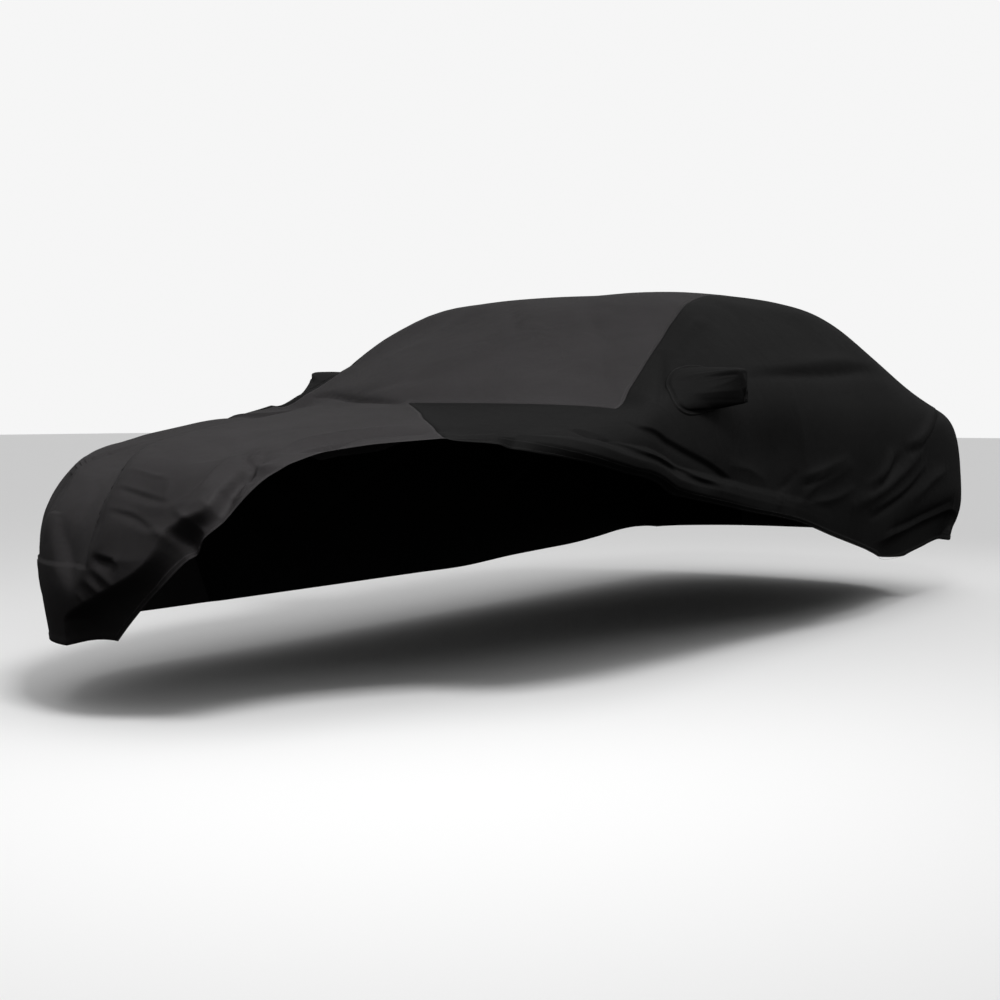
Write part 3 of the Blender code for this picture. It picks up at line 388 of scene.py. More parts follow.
def add_folds(lift, points, folds, steps, end, fade_power, crisp):
    """Adds ridges and troughs, each only to the points near it, from rounded (crisp 0) to sharp (crisp 1)."""
    for fold in folds:
        line = crossed(fold.path, steps)
        near = np.all((points > line.min(axis=0) - 3 * fold.width)
                      & (points < line.max(axis=0) + 3 * fold.width), axis=1)
        if near.any():
            away, share = distance_to(points[near], line)
            fade = np.sin(np.pi * np.clip(share, end, 1.0 - end)) ** fade_power
            away = away / fold.width
            edge = crisp if fold.width < BROAD_FOLD else 0.0
            line_shape = np.exp(CRISP_TIP - np.sqrt(away ** 2 * CRISP_SLOPE + CRISP_TIP ** 2))
            shape = (1.0 - edge) * np.exp(-away ** 2) + edge * line_shape
            lift[near] += fold.height * fade * shape


def add_breaks(lift, points, places):
    """Lets the cloth fall away on one side of each break."""
    for row in BREAKS:
        path = path_places(row.path, BREAK_STEPS)
        line = stretched(path)
        near = np.all((points > line.min(axis=0) - BREAK_FIELD)
                      & (points < line.max(axis=0) + BREAK_FIELD), axis=1)
        away, share = distance_to(points[near], line)
        k = np.clip((share * (BREAK_STEPS - 1)).astype(int), 0, BREAK_STEPS - 2)
        run, to_point = path[k + 1] - path[k], places[near] - path[k]
        rearwards = np.sign(row.path[1][0] - row.path[0][0])
        cross = (run[:, 0] * to_point[:, 1] - run[:, 1] * to_point[:, 0]) * row.side * rearwards
        fade = np.ones(len(away))
        if row.rise:
            fade *= np.clip(share / row.rise, 0.0, 1.0)
        if row.fall:
            fade *= np.clip((1.0 - share) / row.fall, 0.0, 1.0)
        fade = fade * fade * (3.0 - 2.0 * fade)
        round_off = max(BREAK_ROUND, row.reach - BREAK_CRISP_REACH)
        soft = np.sqrt(away ** 2 + round_off ** 2) - round_off
        if row.depth < DEEP_BREAK:
            shape = np.exp(-soft / row.reach) * soft / row.reach * SHALLOW_SWELL
        else:
            shape = 1.0 - np.exp(-soft / row.reach)
        lift[near] -= row.depth * fade * np.where(cross > 0, shape, 0.0)


def hem_lines():
    """The cover's whole lower edge, as runs of stations and girths."""
    side = np.linspace(0.0, LAST, 120)
    return [
        path_places(NOSE_HEM, 80),
        path_places(SIDE_HEM, 160),
        line_at(side, -HEM),
        edge_at(0, -HEM, NOSE_HEM[0][1], 40),
        edge_at(LAST, -HEM, HEM)]


def seam_lines():
    """Where the charcoal and black cloth are sewn together."""
    return [
        path_places(HOOD_SEAM, 60),
        edge_at(COWL, CENTRE_LINE[0][1], ROOF_SEAM[0][1], 20),
        path_places(ROOF_SEAM, 90),
        path_places(RIGHT_SEAM, 110),
        edge_at(LIFT, -HEM, FENDER_EDGE, 24)]


def nearest_to(points, lines):
    """Distance of each point from the nearest of several runs of places."""
    best = np.full(len(points), 1e9)
    for line in lines:
        best = np.minimum(best, distance_to(points, stretched(line))[0])
    return best


def cloth_heights(points, places):
    """The solid's folds, and on them the finer creases, the slack, the seams' dip and the hem's layers."""
    lift = np.zeros(len(points))
    add_folds(lift, points, FOLDS, FOLD_STEPS, FOLD_END, FOLD_FADE, FOLD_CRISP)
    add_folds(lift, points, CREASES, CREASE_STEPS, 0.0, CREASE_FADE, CREASE_CRISP)
    add_breaks(lift, points, places)
    roll, share = distance_to(points, stretched(path_places(SIDE_HEM[:ROLL_END], ROLL_STEPS)))
    fade = np.clip(share / ROLL_RISE, 0.0, 1.0) * np.clip((1.0 - share) / ROLL_FALL, 0.0, 1.0)
    lift += fade * np.interp(roll, ROLL_REACH, ROLL_HEIGHT)
    hem, seam = nearest_to(points, hem_lines()), nearest_to(points, seam_lines())
    for wavelength, height in RIPPLES:
        slack = [noise.noise(Vector(p) / wavelength) for p in points]
        lift += height * np.array(slack) * np.clip(seam / SEAM_TAUT, 0.0, 1.0)
    lift -= SEAM_DIP * np.exp(-(seam / SEAM_DIP_WIDTH) ** 2)
    lift += HEM_RISE * np.clip((HEM_DEPTH - hem) / HEM_STEP, 0.0, 1.0)
    front = nearest_to(points, [path_places(NOSE_HEM, 80)])
    lift += HEM_FLARE * np.clip(1.0 - front / HEM_DEPTH, 0.0, 1.0)
    return lift, hem, seam


def thread_lengths(places):
    """Metres along the cloth's two threads at each place, so that the weave keeps its size everywhere."""
    size = (THREAD_STATIONS, THREAD_GIRTHS)
    stations, girths = np.linspace(0.0, LAST, THREAD_STATIONS), np.linspace(-HEM, HEM, THREAD_GIRTHS)
    table = np.stack(np.meshgrid(stations, girths, indexing="ij"), -1)
    points = stretched(table.reshape(-1, 2)).reshape(*size, 3)
    along = np.zeros(size)
    along[1:] = np.cumsum(np.linalg.norm(np.diff(points, axis=0), axis=2), axis=0)
    down = np.zeros(size)
    down[:, 1:] = np.cumsum(np.linalg.norm(np.diff(points, axis=1), axis=2), axis=1)
    middle = THREAD_GIRTHS // 2
    down -= down[:, middle:middle + 1]
    x = places[:, 0] / LAST * (THREAD_STATIONS - 1)
    y = (places[:, 1] + HEM) / (2 * HEM) * (THREAD_GIRTHS - 1)
    i = np.clip(x.astype(int), 0, THREAD_STATIONS - 2)
    j = np.clip(y.astype(int), 0, THREAD_GIRTHS - 2)
    u, v = x - i, y - j
    return [(t[i, j] * (1 - u) + t[i + 1, j] * u) * (1 - v)
            + (t[i, j + 1] * (1 - u) + t[i + 1, j + 1] * u) * v
            for t in (along, down)]


def on_cloth(places):
    """Points of the finished cloth, with their thread lengths and their distance from the hem and seams."""
    base = stretched(places)
    lift, hem, seam = cloth_heights(base, places)
    points = base + normals_of(stretched, places) * lift[:, None]
    along, down = thread_lengths(places)
    return points, np.stack([along, down, hem], 1), seam


def ruled(first, last, shares):
    """Grid between two lines of places, with rows at the given shares."""
    return first[:, None] * (1.0 - shares[None, :, None]) + last[:, None] * shares[None, :, None]


def line_at(stations, girths):
    """Places at the given stations, with one girth each or one for all."""
    return np.stack([stations, np.broadcast_to(girths, stations.shape)], 1)


def edge_at(station, first, last, count=60):
    """Places down the cloth at one station, from one girth to another."""
    return line_at(np.full(count, float(station)), np.linspace(first, last, count))


def girth_at(path, stations):
    """Girth of a path at each station, for a path that runs rearwards."""
    path = np.asarray(path, float)
    return hermite(path[:, 1], path[:, 0], stations)


def closing(count, power):
    """Shares from 0 to 1, closer together near 1."""
    return 1.0 - (1.0 - np.linspace(0.0, 1.0, count + 1)) ** power


def sew_sheet(name, blocks, material, open_at=None):
    """One cut of cloth from its blocks: welded, drawn in from its edges, and given its thin depth."""
    bm = bmesh.new()
    thread = bm.verts.layers.float_vector.new("thread")
    for block in blocks:
        rows, columns = block.shape[:2]
        places = block.reshape(-1, 2)
        points, lengths, _ = on_cloth(places)
        verts = []
        for p, t in zip(points, lengths):
            v = bm.verts.new(p)
            v[thread] = t
            verts.append(v)
        keep = np.ones((rows - 1, columns - 1), bool)
        if open_at is not None:
            middles = (block[1:, 1:] + block[:-1, :-1] + block[1:, :-1] + block[:-1, 1:]) / 4
            keep = ~open_at(middles.reshape(-1, 2)).reshape(rows - 1, columns - 1)
        for i, j in np.argwhere(keep):
            k = i * columns + j
            bm.faces.new((verts[k], verts[k + 1], verts[k + columns + 1], verts[k + columns]))
    bmesh.ops.remove_doubles(bm, verts=bm.verts, dist=0.00002)
    bmesh.ops.delete(bm, geom=[v for v in bm.verts if not v.link_faces], context="VERTS")
    return finish_sheet(name, bm, material)


def add_object(name, data):
    """Puts a mesh, light or camera into the scene."""
    thing = bpy.data.objects.new(name, data)
    bpy.context.scene.collection.objects.link(thing)
    return thing


def finish_sheet(name, bm, material):
    """Gives an open sheet its depth, its material and its place in the frame."""
    bm.normal_update()
    outer = list(bm.faces)
    border = [e for e in bm.edges if e.is_boundary]
    normals = {v: v.normal.copy() for v in bm.verts}
    thread = bm.verts.layers.float_vector.get("thread")
    inner = {}
    for v, normal in normals.items():
        inner[v] = bm.verts.new(v.co - normal * CLOTH_DEPTH)
        inner[v][thread] = v[thread]
    for face in outer:
        bm.faces.new([inner[v] for v in reversed(face.verts)])
    for edge in border:
        loop = edge.link_loops[0]
        start, end = loop.vert, loop.link_loop_next.vert
        bm.faces.new((end, start, inner[start], inner[end]))
    mesh = bpy.data.meshes.new(name)
    bm.to_mesh(mesh)
    bm.free()
    mesh.shade_smooth()
    mesh.materials.append(material)
    piece = add_object(name, mesh)
    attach(piece, "root")
    return piece


def link(tree, source, target):
    """Joins two sockets of a node tree."""
    tree.links.new(source, target)


def add_node(tree, kind, values=None):
    """Adds a node and sets its inputs to the given values."""
    node = tree.nodes.new(kind)
    for label, value in (values or {}).items():
        node.inputs[label].default_value = value
    return node


def new_material(name, values):
    """A material with its node tree and its shader, whose inputs take the given values."""
    material = bpy.data.materials.new(name)
    material.use_nodes = True
    shader = material.node_tree.nodes["Principled BSDF"]
    for label, value in values.items():
        shader.inputs[label].default_value = value
    return material, material.node_tree, shader


def math_node(tree, operation, first, second=None):
    """Result of a sum on sockets or plain numbers."""
    node = tree.nodes.new("ShaderNodeMath")
    node.operation = operation
    for socket, value in zip(node.inputs, (first, second)):
        if isinstance(value, (int, float)):
            socket.default_value = value
        elif value is not None:
            tree.links.new(value, socket)
    return node.outputs[0]


WEAVE_PITCH = 0.0014         # from one bright column of beads to the next


def pebbled_weave():
    """Node group: staggered round beads of thread, with every other column dimmer."""
    tree = bpy.data.node_groups.new("pebbled_weave", "ShaderNodeTree")
    tree.interface.new_socket("Thread", in_out="INPUT", socket_type="NodeSocketVector")
    pitch = tree.interface.new_socket("Pitch", in_out="INPUT", socket_type="NodeSocketFloat")
    pitch.default_value = WEAVE_PITCH
    tree.interface.new_socket("Bead", in_out="OUTPUT", socket_type="NodeSocketFloat")
    tree.interface.new_socket("Bright", in_out="OUTPUT", socket_type="NodeSocketFloat")
    start = tree.nodes.new("NodeGroupInput")
    end = tree.nodes.new("NodeGroupOutput")
    apart = tree.nodes.new("ShaderNodeSeparateXYZ")
    link(tree, start.outputs["Thread"], apart.inputs[0])
    column_width = math_node(tree, "MULTIPLY", start.outputs["Pitch"], 0.5)
    across = math_node(tree, "DIVIDE", apart.outputs["Y"], column_width)
    column = math_node(tree, "FLOOR", across)
    odd = math_node(tree, "FLOORED_MODULO", column, 2.0)
    along = math_node(tree, "ADD", math_node(
        tree, "DIVIDE", apart.outputs["X"], math_node(tree, "MULTIPLY", start.outputs["Pitch"], 0.85)),
        math_node(tree, "MULTIPLY", odd, 0.5))
    x = math_node(tree, "SUBTRACT", math_node(tree, "FRACT", across), 0.5)
    y = math_node(tree, "SUBTRACT", math_node(tree, "FRACT", along), 0.5)
    span = math_node(tree, "ADD", math_node(tree, "MULTIPLY", math_node(tree, "MULTIPLY", x, x), 3.2),
                     math_node(tree, "MULTIPLY", math_node(tree, "MULTIPLY", y, y), 4.4))
    bead = math_node(tree, "SUBTRACT", 1.0, span)
    round_bead = math_node(tree, "MAXIMUM", bead, 0.0)
    link(tree, math_node(tree, "POWER", round_bead, 0.6), end.inputs["Bead"])
    link(tree, math_node(tree, "SUBTRACT", 1.0, math_node(tree, "MULTIPLY", odd, 0.35)), end.inputs["Bright"])
    return tree


WEAVE = pebbled_weave()


def cloth_material(name, colour, roughness, specular, sheen):
    """Woven polyester: beads of thread over dark gaps, slow unevenness and faint crumples."""
    material, tree, shader = new_material(name, {
        "Specular IOR Level": specular, "Sheen Weight": sheen, "Sheen Roughness": 0.45})
    lengths = tree.nodes.new("ShaderNodeAttribute")
    lengths.attribute_name = "thread"
    weave = tree.nodes.new("ShaderNodeGroup")
    weave.node_tree = WEAVE
    weave.inputs["Pitch"].default_value = WEAVE_PITCH
    link(tree, lengths.outputs["Vector"], weave.inputs["Thread"])
    place = tree.nodes.new("ShaderNodeTexCoord")
    cloud = add_node(tree, "ShaderNodeTexNoise", {"Scale": 2.3, "Detail": 4.0, "Roughness": 0.6})
    link(tree, place.outputs["Object"], cloud.inputs["Vector"])
    tone = add_node(tree, "ShaderNodeMapRange", {
        "To Min": 0.86, "To Max": 1.14, "From Min": 0.3, "From Max": 0.7})
    link(tree, cloud.outputs["Fac"], tone.inputs["Value"])
    bead_tone = math_node(tree, "MULTIPLY", math_node(
        tree, "ADD", 0.45, math_node(tree, "MULTIPLY", weave.outputs["Bead"], 0.85)), weave.outputs["Bright"])
    shade = math_node(tree, "MULTIPLY", tone.outputs["Result"], bead_tone)
    paint = tree.nodes.new("ShaderNodeMix")
    paint.data_type = "RGBA"
    paint.blend_type = "MULTIPLY"
    paint.inputs["Factor"].default_value = 1.0
    paint.inputs[6].default_value = colour
    grey = tree.nodes.new("ShaderNodeCombineColor")
    for socket in grey.inputs[:3]:
        link(tree, shade, socket)
    link(tree, grey.outputs["Color"], paint.inputs[7])
    link(tree, paint.outputs[2], shader.inputs["Base Color"])
    polish = math_node(tree, "MULTIPLY", weave.outputs["Bead"], 0.18)
    rough = math_node(tree, "SUBTRACT", roughness + 0.12, polish)
    link(tree, rough, shader.inputs["Roughness"])
    crumple = add_node(tree, "ShaderNodeTexNoise", {
        "Scale": 8.0, "Detail": 3.0, "Roughness": 0.45, "Distortion": 0.9})
    link(tree, place.outputs["Object"], crumple.inputs["Vector"])
    slack = add_node(tree, "ShaderNodeBump", {"Strength": 0.22, "Distance": 0.012})
    link(tree, crumple.outputs["Fac"], slack.inputs["Height"])
    fine = add_node(tree, "ShaderNodeBump", {"Strength": 0.35, "Distance": 0.00025})
    link(tree, weave.outputs["Bead"], fine.inputs["Height"])
    link(tree, slack.outputs["Normal"], fine.inputs["Normal"])
    link(tree, fine.outputs["Normal"], shader.inputs["Normal"])
    return material


def inset(line, distance):
    """A line of places moved into the cloth by a distance in metres, on its left side as it runs."""
    base = stretched(line)
    run = np.gradient(base, axis=0)
    run /= np.linalg.norm(run, axis=1, keepdims=True)
    normal = normals_of(stretched, line)
    aside = np.cross(normal, run) * distance
    step = 0.01
    held = np.clip(line, (step, -HEM + step), (LAST - step, HEM - step))
    by_station = (stretched(held + (step, 0)) - stretched(held - (step, 0))) / (2 * step)
    by_girth = (stretched(held + (0, step)) - stretched(held - (0, step))) / (2 * step)
    moved = np.empty_like(line)
    for k in range(len(line)):
        across = np.stack([by_station[k], by_girth[k]], 1)
        moved[k] = line[k] + np.linalg.lstsq(across, aside[k], rcond=None)[0]
    return np.clip(moved, (0.0, -HEM), (LAST, HEM))


def stitch_row_nodes():
    """Geometry Nodes: short threads laid end to end along a line, with a small gap between them."""
    tree = bpy.data.node_groups.new("stitch_row", "GeometryNodeTree")
    tree.interface.new_socket("Geometry", in_out="INPUT", socket_type="NodeSocketGeometry")
    for label, value in (("Pitch", 0.005), ("Stitch Length", 0.0036), ("Thread Width", 0.0011)):
        socket = tree.interface.new_socket(label, in_out="INPUT", socket_type="NodeSocketFloat")
        socket.default_value = value
    tree.interface.new_socket("Material", in_out="INPUT", socket_type="NodeSocketMaterial")
    tree.interface.new_socket("Geometry", in_out="OUTPUT", socket_type="NodeSocketGeometry")
    nodes = tree.nodes
    start, end = nodes.new("NodeGroupInput"), nodes.new("NodeGroupOutput")
    curve = nodes.new("GeometryNodeMeshToCurve")
    even = nodes.new("GeometryNodeResampleCurve")
    even.mode = "LENGTH"
    bead = add_node(tree, "GeometryNodeMeshIcoSphere", {"Radius": 0.5, "Subdivisions": 1})
    size = nodes.new("ShaderNodeCombineXYZ")
    tangent = nodes.new("GeometryNodeInputTangent")
    turn = nodes.new("FunctionNodeAlignRotationToVector")
    turn.axis = "X"
    lay = nodes.new("GeometryNodeInstanceOnPoints")
    real = nodes.new("GeometryNodeRealizeInstances")
    dress = nodes.new("GeometryNodeSetMaterial")
    link(tree, start.outputs["Geometry"], curve.inputs["Mesh"])
    link(tree, curve.outputs["Curve"], even.inputs["Curve"])
    link(tree, start.outputs["Pitch"], even.inputs["Length"])
    link(tree, even.outputs["Curve"], lay.inputs["Points"])
    link(tree, bead.outputs["Mesh"], lay.inputs["Instance"])
    link(tree, tangent.outputs["Tangent"], turn.inputs["Vector"])
    link(tree, turn.outputs["Rotation"], lay.inputs["Rotation"])
    link(tree, start.outputs["Stitch Length"], size.inputs["X"])
    link(tree, start.outputs["Thread Width"], size.inputs["Y"])
    link(tree, start.outputs["Thread Width"], size.inputs["Z"])
    link(tree, size.outputs["Vector"], lay.inputs["Scale"])
    link(tree, lay.outputs["Instances"], real.inputs["Geometry"])
    link(tree, real.outputs["Geometry"], dress.inputs["Geometry"])
    link(tree, start.outputs["Material"], dress.inputs["Material"])
    link(tree, dress.outputs["Geometry"], end.inputs["Geometry"])
    return tree


STITCH_ROW = stitch_row_nodes()


def thread_material(name, colour):
    """Twisted polyester thread: fine slanted ply and a soft shine."""
    material, tree, shader = new_material(name, {"Sheen Weight": 0.1, "Roughness": 0.5})
    place = tree.nodes.new("ShaderNodeTexCoord")
    ply = add_node(tree, "ShaderNodeTexWave", {"Scale": 900.0})
    ply.bands_direction = "DIAGONAL"
    link(tree, place.outputs["Object"], ply.inputs["Vector"])
    ramp = tree.nodes.new("ShaderNodeValToRGB")
    ramp.color_ramp.elements[0].color = tuple(c * 0.6 for c in colour[:3]) + (1.0,)
    ramp.color_ramp.elements[1].color = colour
    link(tree, ply.outputs["Fac"], ramp.inputs["Fac"])
    link(tree, ramp.outputs["Color"], shader.inputs["Base Color"])
    bump = add_node(tree, "ShaderNodeBump", {"Strength": 0.4, "Distance": 0.0002})
    link(tree, ply.outputs["Fac"], bump.inputs["Height"])
    link(tree, bump.outputs["Normal"], shader.inputs["Normal"])
    return material


THREAD_LIFT = 0.0002         # a row of thread lies this far above its cloth
HEM_ROWS = (0.004, 0.016)    # the two rows of a hem, from its edge
SEAM_ROWS = (0.003, 0.008)   # and those beside a seam


def sew_rows(name, rows, material):
    """Rows of stitches lying on the cloth, from lines of places."""
    points, edges = [], []
    for row in rows:
        laid, _, _ = on_cloth(row)
        laid = laid + normals_of(stretched, row) * THREAD_LIFT
        edges += [(len(points) + k, len(points) + k + 1) for k in range(len(laid) - 1)]
        points += [tuple(p) for p in laid]
    mesh = bpy.data.meshes.new(name)
    mesh.from_pydata(points, edges, [])
    return lay_threads(add_object(name, mesh), material)


def lay_threads(piece, material):
    """Runs the stitches' nodes on a piece of lines, keeps the mesh they make, and places it in the frame."""
    rows = piece.modifiers.new("Stitches", "NODES")
    rows.node_group = STITCH_ROW
    for item in STITCH_ROW.interface.items_tree:
        if item.name == "Material" and item.in_out == "INPUT":
            rows[item.identifier] = material
    bpy.context.view_layer.update()
    graph = bpy.context.evaluated_depsgraph_get()
    made = bpy.data.meshes.new_from_object(piece.evaluated_get(graph))
    piece.modifiers.clear()
    piece.data = made
    made.shade_smooth()
    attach(piece, "root")
    return piece


CHARCOAL = (0.0370, 0.0345, 0.0357, 1.0)
CHARCOAL_THREAD = (0.085, 0.080, 0.082, 1.0)
TOP_NOSE, TOP_HOOD, TOP_REAR = 146, 96, 122         # rows of faces along the top
TOP_CENTRE, TOP_RIGHT, TOP_SCREEN = 102, 45, 30     # and across it
END_STEP = 0.02             # a row of thread stops this short of a panel's end

charcoal_cloth = cloth_material("charcoal_cloth", CHARCOAL, 0.60, 0.10, 0.0)
charcoal_thread = thread_material("charcoal_thread", CHARCOAL_THREAD)

nose = np.linspace(0.0, LIFT, TOP_NOSE + 1)
hood = LIFT + (COWL - LIFT) * closing(TOP_HOOD, 1.3)
rear = COWL + (LAST - COWL) * np.linspace(0.0, 1.0, TOP_REAR + 1) ** 1.25
centre = line_at(rear, girth_at(CENTRE_LINE, rear))
to_hem = closing(TOP_CENTRE, 1.7)
top_blocks = [
    ruled(line_at(nose, -HEM), line_at(nose, FENDER_EDGE), closing(TOP_RIGHT, 1.6)),
    ruled(line_at(nose, FENDER_EDGE), line_at(nose, girth_at(NOSE_HEM, nose)), to_hem),
    ruled(line_at(hood, girth_at(RIGHT_SEAM, hood)), line_at(hood, girth_at(HOOD_SEAM, hood)), to_hem),
    ruled(line_at(rear, girth_at(RIGHT_SEAM, rear)), centre, to_hem),
    ruled(centre, line_at(rear, girth_at(ROOF_SEAM, rear)), np.linspace(0, 1, TOP_SCREEN + 1))]
top_panel = sew_sheet("top_cloth", top_blocks, charcoal_cloth)
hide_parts("top_panel")

bottom = np.linspace(END_STEP, LIFT - END_STEP, 120)
tail_edge = edge_at(LAST, -0.90, 0.90)
front_edge = edge_at(0, -3.96, -0.46)
top_rows = []
for depth in HEM_ROWS:
    top_rows += [
        inset(path_places(NOSE_HEM, 160), depth), inset(line_at(bottom, -HEM), -depth),
        inset(front_edge, -depth), inset(tail_edge, depth)]
for path in (HOOD_SEAM, RIGHT_SEAM, ROOF_SEAM):
    side = 1 if path is RIGHT_SEAM else -1
    for offset in SEAM_ROWS:
        top_rows.append(inset(path_places(path, 160), -side * offset))
top_stitches = sew_rows("top_stitches", top_rows, charcoal_thread)


# ================================================================ LEFT SIDE PANEL
# The black cloth of the left side, from the hood's corner to the tail: the same polyester weave in black,
# sewn to the charcoal cloth. Its front corner is thrown up over the fender, so its hem rolls there.
BLACK = (0.0102, 0.0101, 0.0101, 1.0)
BLACK_THREAD = (0.017, 0.0168, 0.0165, 1.0)
LEFT_ACROSS, LEFT_DOWN, LEFT_REAR = 70, 126, 290     # faces across the corner, down and along the side
POCKET_CORNERS = ((9.54, 1.36), (10.60, 1.64), (10.60, 2.00), (9.50, 2.04))     # around the pocket's hole
POCKET_POWER = 0.62         # squareness of the hole

black_cloth = cloth_material("black_cloth", BLACK, 0.56, 0.04, 0.0)
black_thread = thread_material("black_thread", BLACK_THREAD)


def coons(near, far, start, end):
    """Grid filled in between four lines: near and far run one way, start and end the other."""
    u = np.linspace(0.0, 1.0, len(near))[:, None, None]
    v = np.linspace(0.0, 1.0, len(start))[None, :, None]
    across = near[:, None] * (1 - v) + far[:, None] * v
    along = start[None] * (1 - u) + end[None] * u
    corners = (near[0] * (1 - u) * (1 - v) + near[-1] * u * (1 - v)
               + far[0] * (1 - u) * v + far[-1] * u * v)
    return across + along - corners


def in_pocket_hole(side):
    """Says which places lie inside the hole that the mirror pocket is sewn into."""
    high_front, high_rear, low_rear, low_front = np.array(POCKET_CORNERS)

    def test(places):
        station, girth = places[:, 0], places[:, 1] * side
        u = np.full(len(places), 0.5)
        for _ in range(6):
            top = high_front[1] + (high_rear[1] - high_front[1]) * u
            low = low_front[1] + (low_rear[1] - low_front[1]) * u
            v = (girth - top) / (low - top)
            left = high_front[0] + (low_front[0] - high_front[0]) * v
            right = high_rear[0] + (low_rear[0] - high_rear[0]) * v
            u = (station - left) / (right - left)
        power = 2.0 / POCKET_POWER
        return (np.abs(2 * u - 1) ** power + np.abs(2 * v - 1) ** power < 1.0) & (np.abs(u) < 3)
    return test


hood_steps = LIFT + (COWL - LIFT) * (1.0 - closing(LEFT_DOWN, 1.5)[::-1])
hood_edge = line_at(hood_steps, girth_at(HOOD_SEAM, hood_steps))
cowl_edge = edge_at(COWL, CENTRE_LINE[0][1], ROOF_SEAM[0][1], LEFT_ACROSS + 1)
lifted_hem = path_places(SIDE_HEM[:SIDE_HEM_SPLIT + 1], LEFT_ACROSS + 1)
drop = ruled(cowl_edge[-1:], lifted_hem[-1:], closing(LEFT_DOWN, 1.5))[0]
low_path = np.asarray(SIDE_HEM[SIDE_HEM_SPLIT:], float)
low_steps = np.linspace(low_path[0, 0], LAST, LEFT_REAR + 1)
rear_steps = np.linspace(COWL, LAST, LEFT_REAR + 1)
left_blocks = [
    coons(hood_edge, drop[::-1], lifted_hem, cowl_edge),
    ruled(line_at(rear_steps, girth_at(ROOF_SEAM, rear_steps)),
          line_at(low_steps, girth_at(low_path, low_steps).clip(max=HEM)), closing(LEFT_DOWN, 1.5))]
left_panel = sew_sheet("left_side_cloth", left_blocks, black_cloth, in_pocket_hole(1))
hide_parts("left_side_panel")

left_rows = []
for depth in HEM_ROWS:
    left_rows += [inset(path_places(SIDE_HEM, 320), depth),
                  inset(edge_at(LAST, 0.94, 3.96), depth)]
left_rows.append(inset(path_places(HOOD_SEAM, 120), SEAM_ROWS[0]))
left_stitches = sew_rows("left_side_stitches", left_rows, black_thread)


# ================================================================ RIGHT SIDE PANEL
# The same black cloth down the right side, from behind the front corner to the tail, sewn to the charcoal
# cloth. Its upper seam keeps beside the hood, and its hem is level and sewn like the others.
RIGHT_HOOD, RIGHT_REAR, RIGHT_DOWN = 60, 190, 90     # faces beside the hood, behind it and down the side
right_steps = np.concatenate([
    np.linspace(LIFT, COWL, RIGHT_HOOD + 1), np.linspace(COWL, LAST, RIGHT_REAR + 1)[1:]])
right_blocks = [ruled(line_at(right_steps, -HEM), line_at(right_steps, girth_at(RIGHT_SEAM, right_steps)),
                      closing(RIGHT_DOWN, 1.6))]
right_panel = sew_sheet("right_side_cloth", right_blocks, black_cloth, in_pocket_hole(-1))
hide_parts("right_side_panel")

right_rows = []
for depth in HEM_ROWS:
    right_rows += [inset(line_at(np.linspace(LIFT + END_STEP, LAST, 300), -HEM), -depth),
                   inset(edge_at(LAST, -3.96, -0.94), depth)]
right_stitches = sew_rows("right_side_stitches", right_rows, black_thread)


# ================================================================ MIRROR POCKETS
# A pouch of the black cloth on each side, sewn into a hole in the side panel by a narrow flange that lies
# on the panel. Its mouth is open to the inside, its end is closed and its underside is drawn in.
PocketRing = namedtuple("PocketRing", "share deep tall")
POCKET_RINGS = [PocketRing(*row) for row in (
    (0.40, 1.04, 1.10), (0.72, 1.02, 1.14), (0.90, 0.86, 1.14), (0.98, 0.60, 1.06), (1.00, 0.30, 0.80))]
POCKET_RISE = 0.004         # the pocket rises straight out of its hole this far
LEFT_TIP = (1.000, -0.658, 1.028)       # middle of the outer ring, from mid-length and the ground
RIGHT_TIP = (-0.982, -0.632, 1.046)     # the right pocket stands a little higher
TIP_HALF_Y, TIP_HALF_Z = 0.056, 0.054
TIP_REACH = 0.008           # the closed end bulges this far past the ring
TIP_POWER = 0.34            # the end of the pouch is squarer than its mouth
CAP_SHARES = (0.3, 0.6, 0.85)           # rings that close the end
CAP_SWELL = 0.003
BEVEL_FROM, BEVEL = 0.26, 0.95          # the lower front edge is drawn back underneath
FLANGE_RINGS = (1.16, 1.06, 0.995)      # the flange's rings, from outside in, as shares of the hole
FLANGE_LIFTS = (0.0010, 0.0018, 0.0018)
POCKET_ROW_LIFT = 0.0026    # the pocket's row of thread lies on the flange
POCKET_SIDES = 150
RING_STEPS = 9              # rings between two of the table's
POCKET_GIRTH = 0.62         # the weave runs round the pocket as on a ring of this length
SHORTEST_GIRTH = 0.2

# Folds that run along the pocket: place round it, width, height and how far it turns with each ring.
PocketFold = namedtuple("PocketFold", "place width height slant")
POCKET_FOLDS = [PocketFold(*row) for row in (
    (0.590, 0.010, -0.0080, 0.002), (0.620, 0.012, 0.0050, 0.001), (0.520, 0.014, -0.0022, 0.018),
    (0.470, 0.012, 0.0018, 0.024), (0.440, 0.012, -0.0020, -0.015), (0.250, 0.06, -0.0060, 0.0),
    (0.86, 0.03, 0.0030, 0.02), (0.95, 0.03, -0.0035, -0.015))]
POCKET_FOLD_RUN = 4.2       # rings over which the folds rise and die away


def pocket_outline(power):
    """A squared circle, at even steps along its line."""
    angles = np.linspace(0.0, 2 * np.pi, 4001)
    c, s = np.cos(angles), np.sin(angles)
    c, s = np.sign(c) * np.abs(c) ** power, np.sign(s) * np.abs(s) ** power
    run = np.concatenate([[0.0], np.cumsum(np.hypot(np.diff(c), np.diff(s)))])
    at = run[-1] * np.arange(POCKET_SIDES) / POCKET_SIDES
    return np.interp(at, run, c), np.interp(at, run, s)


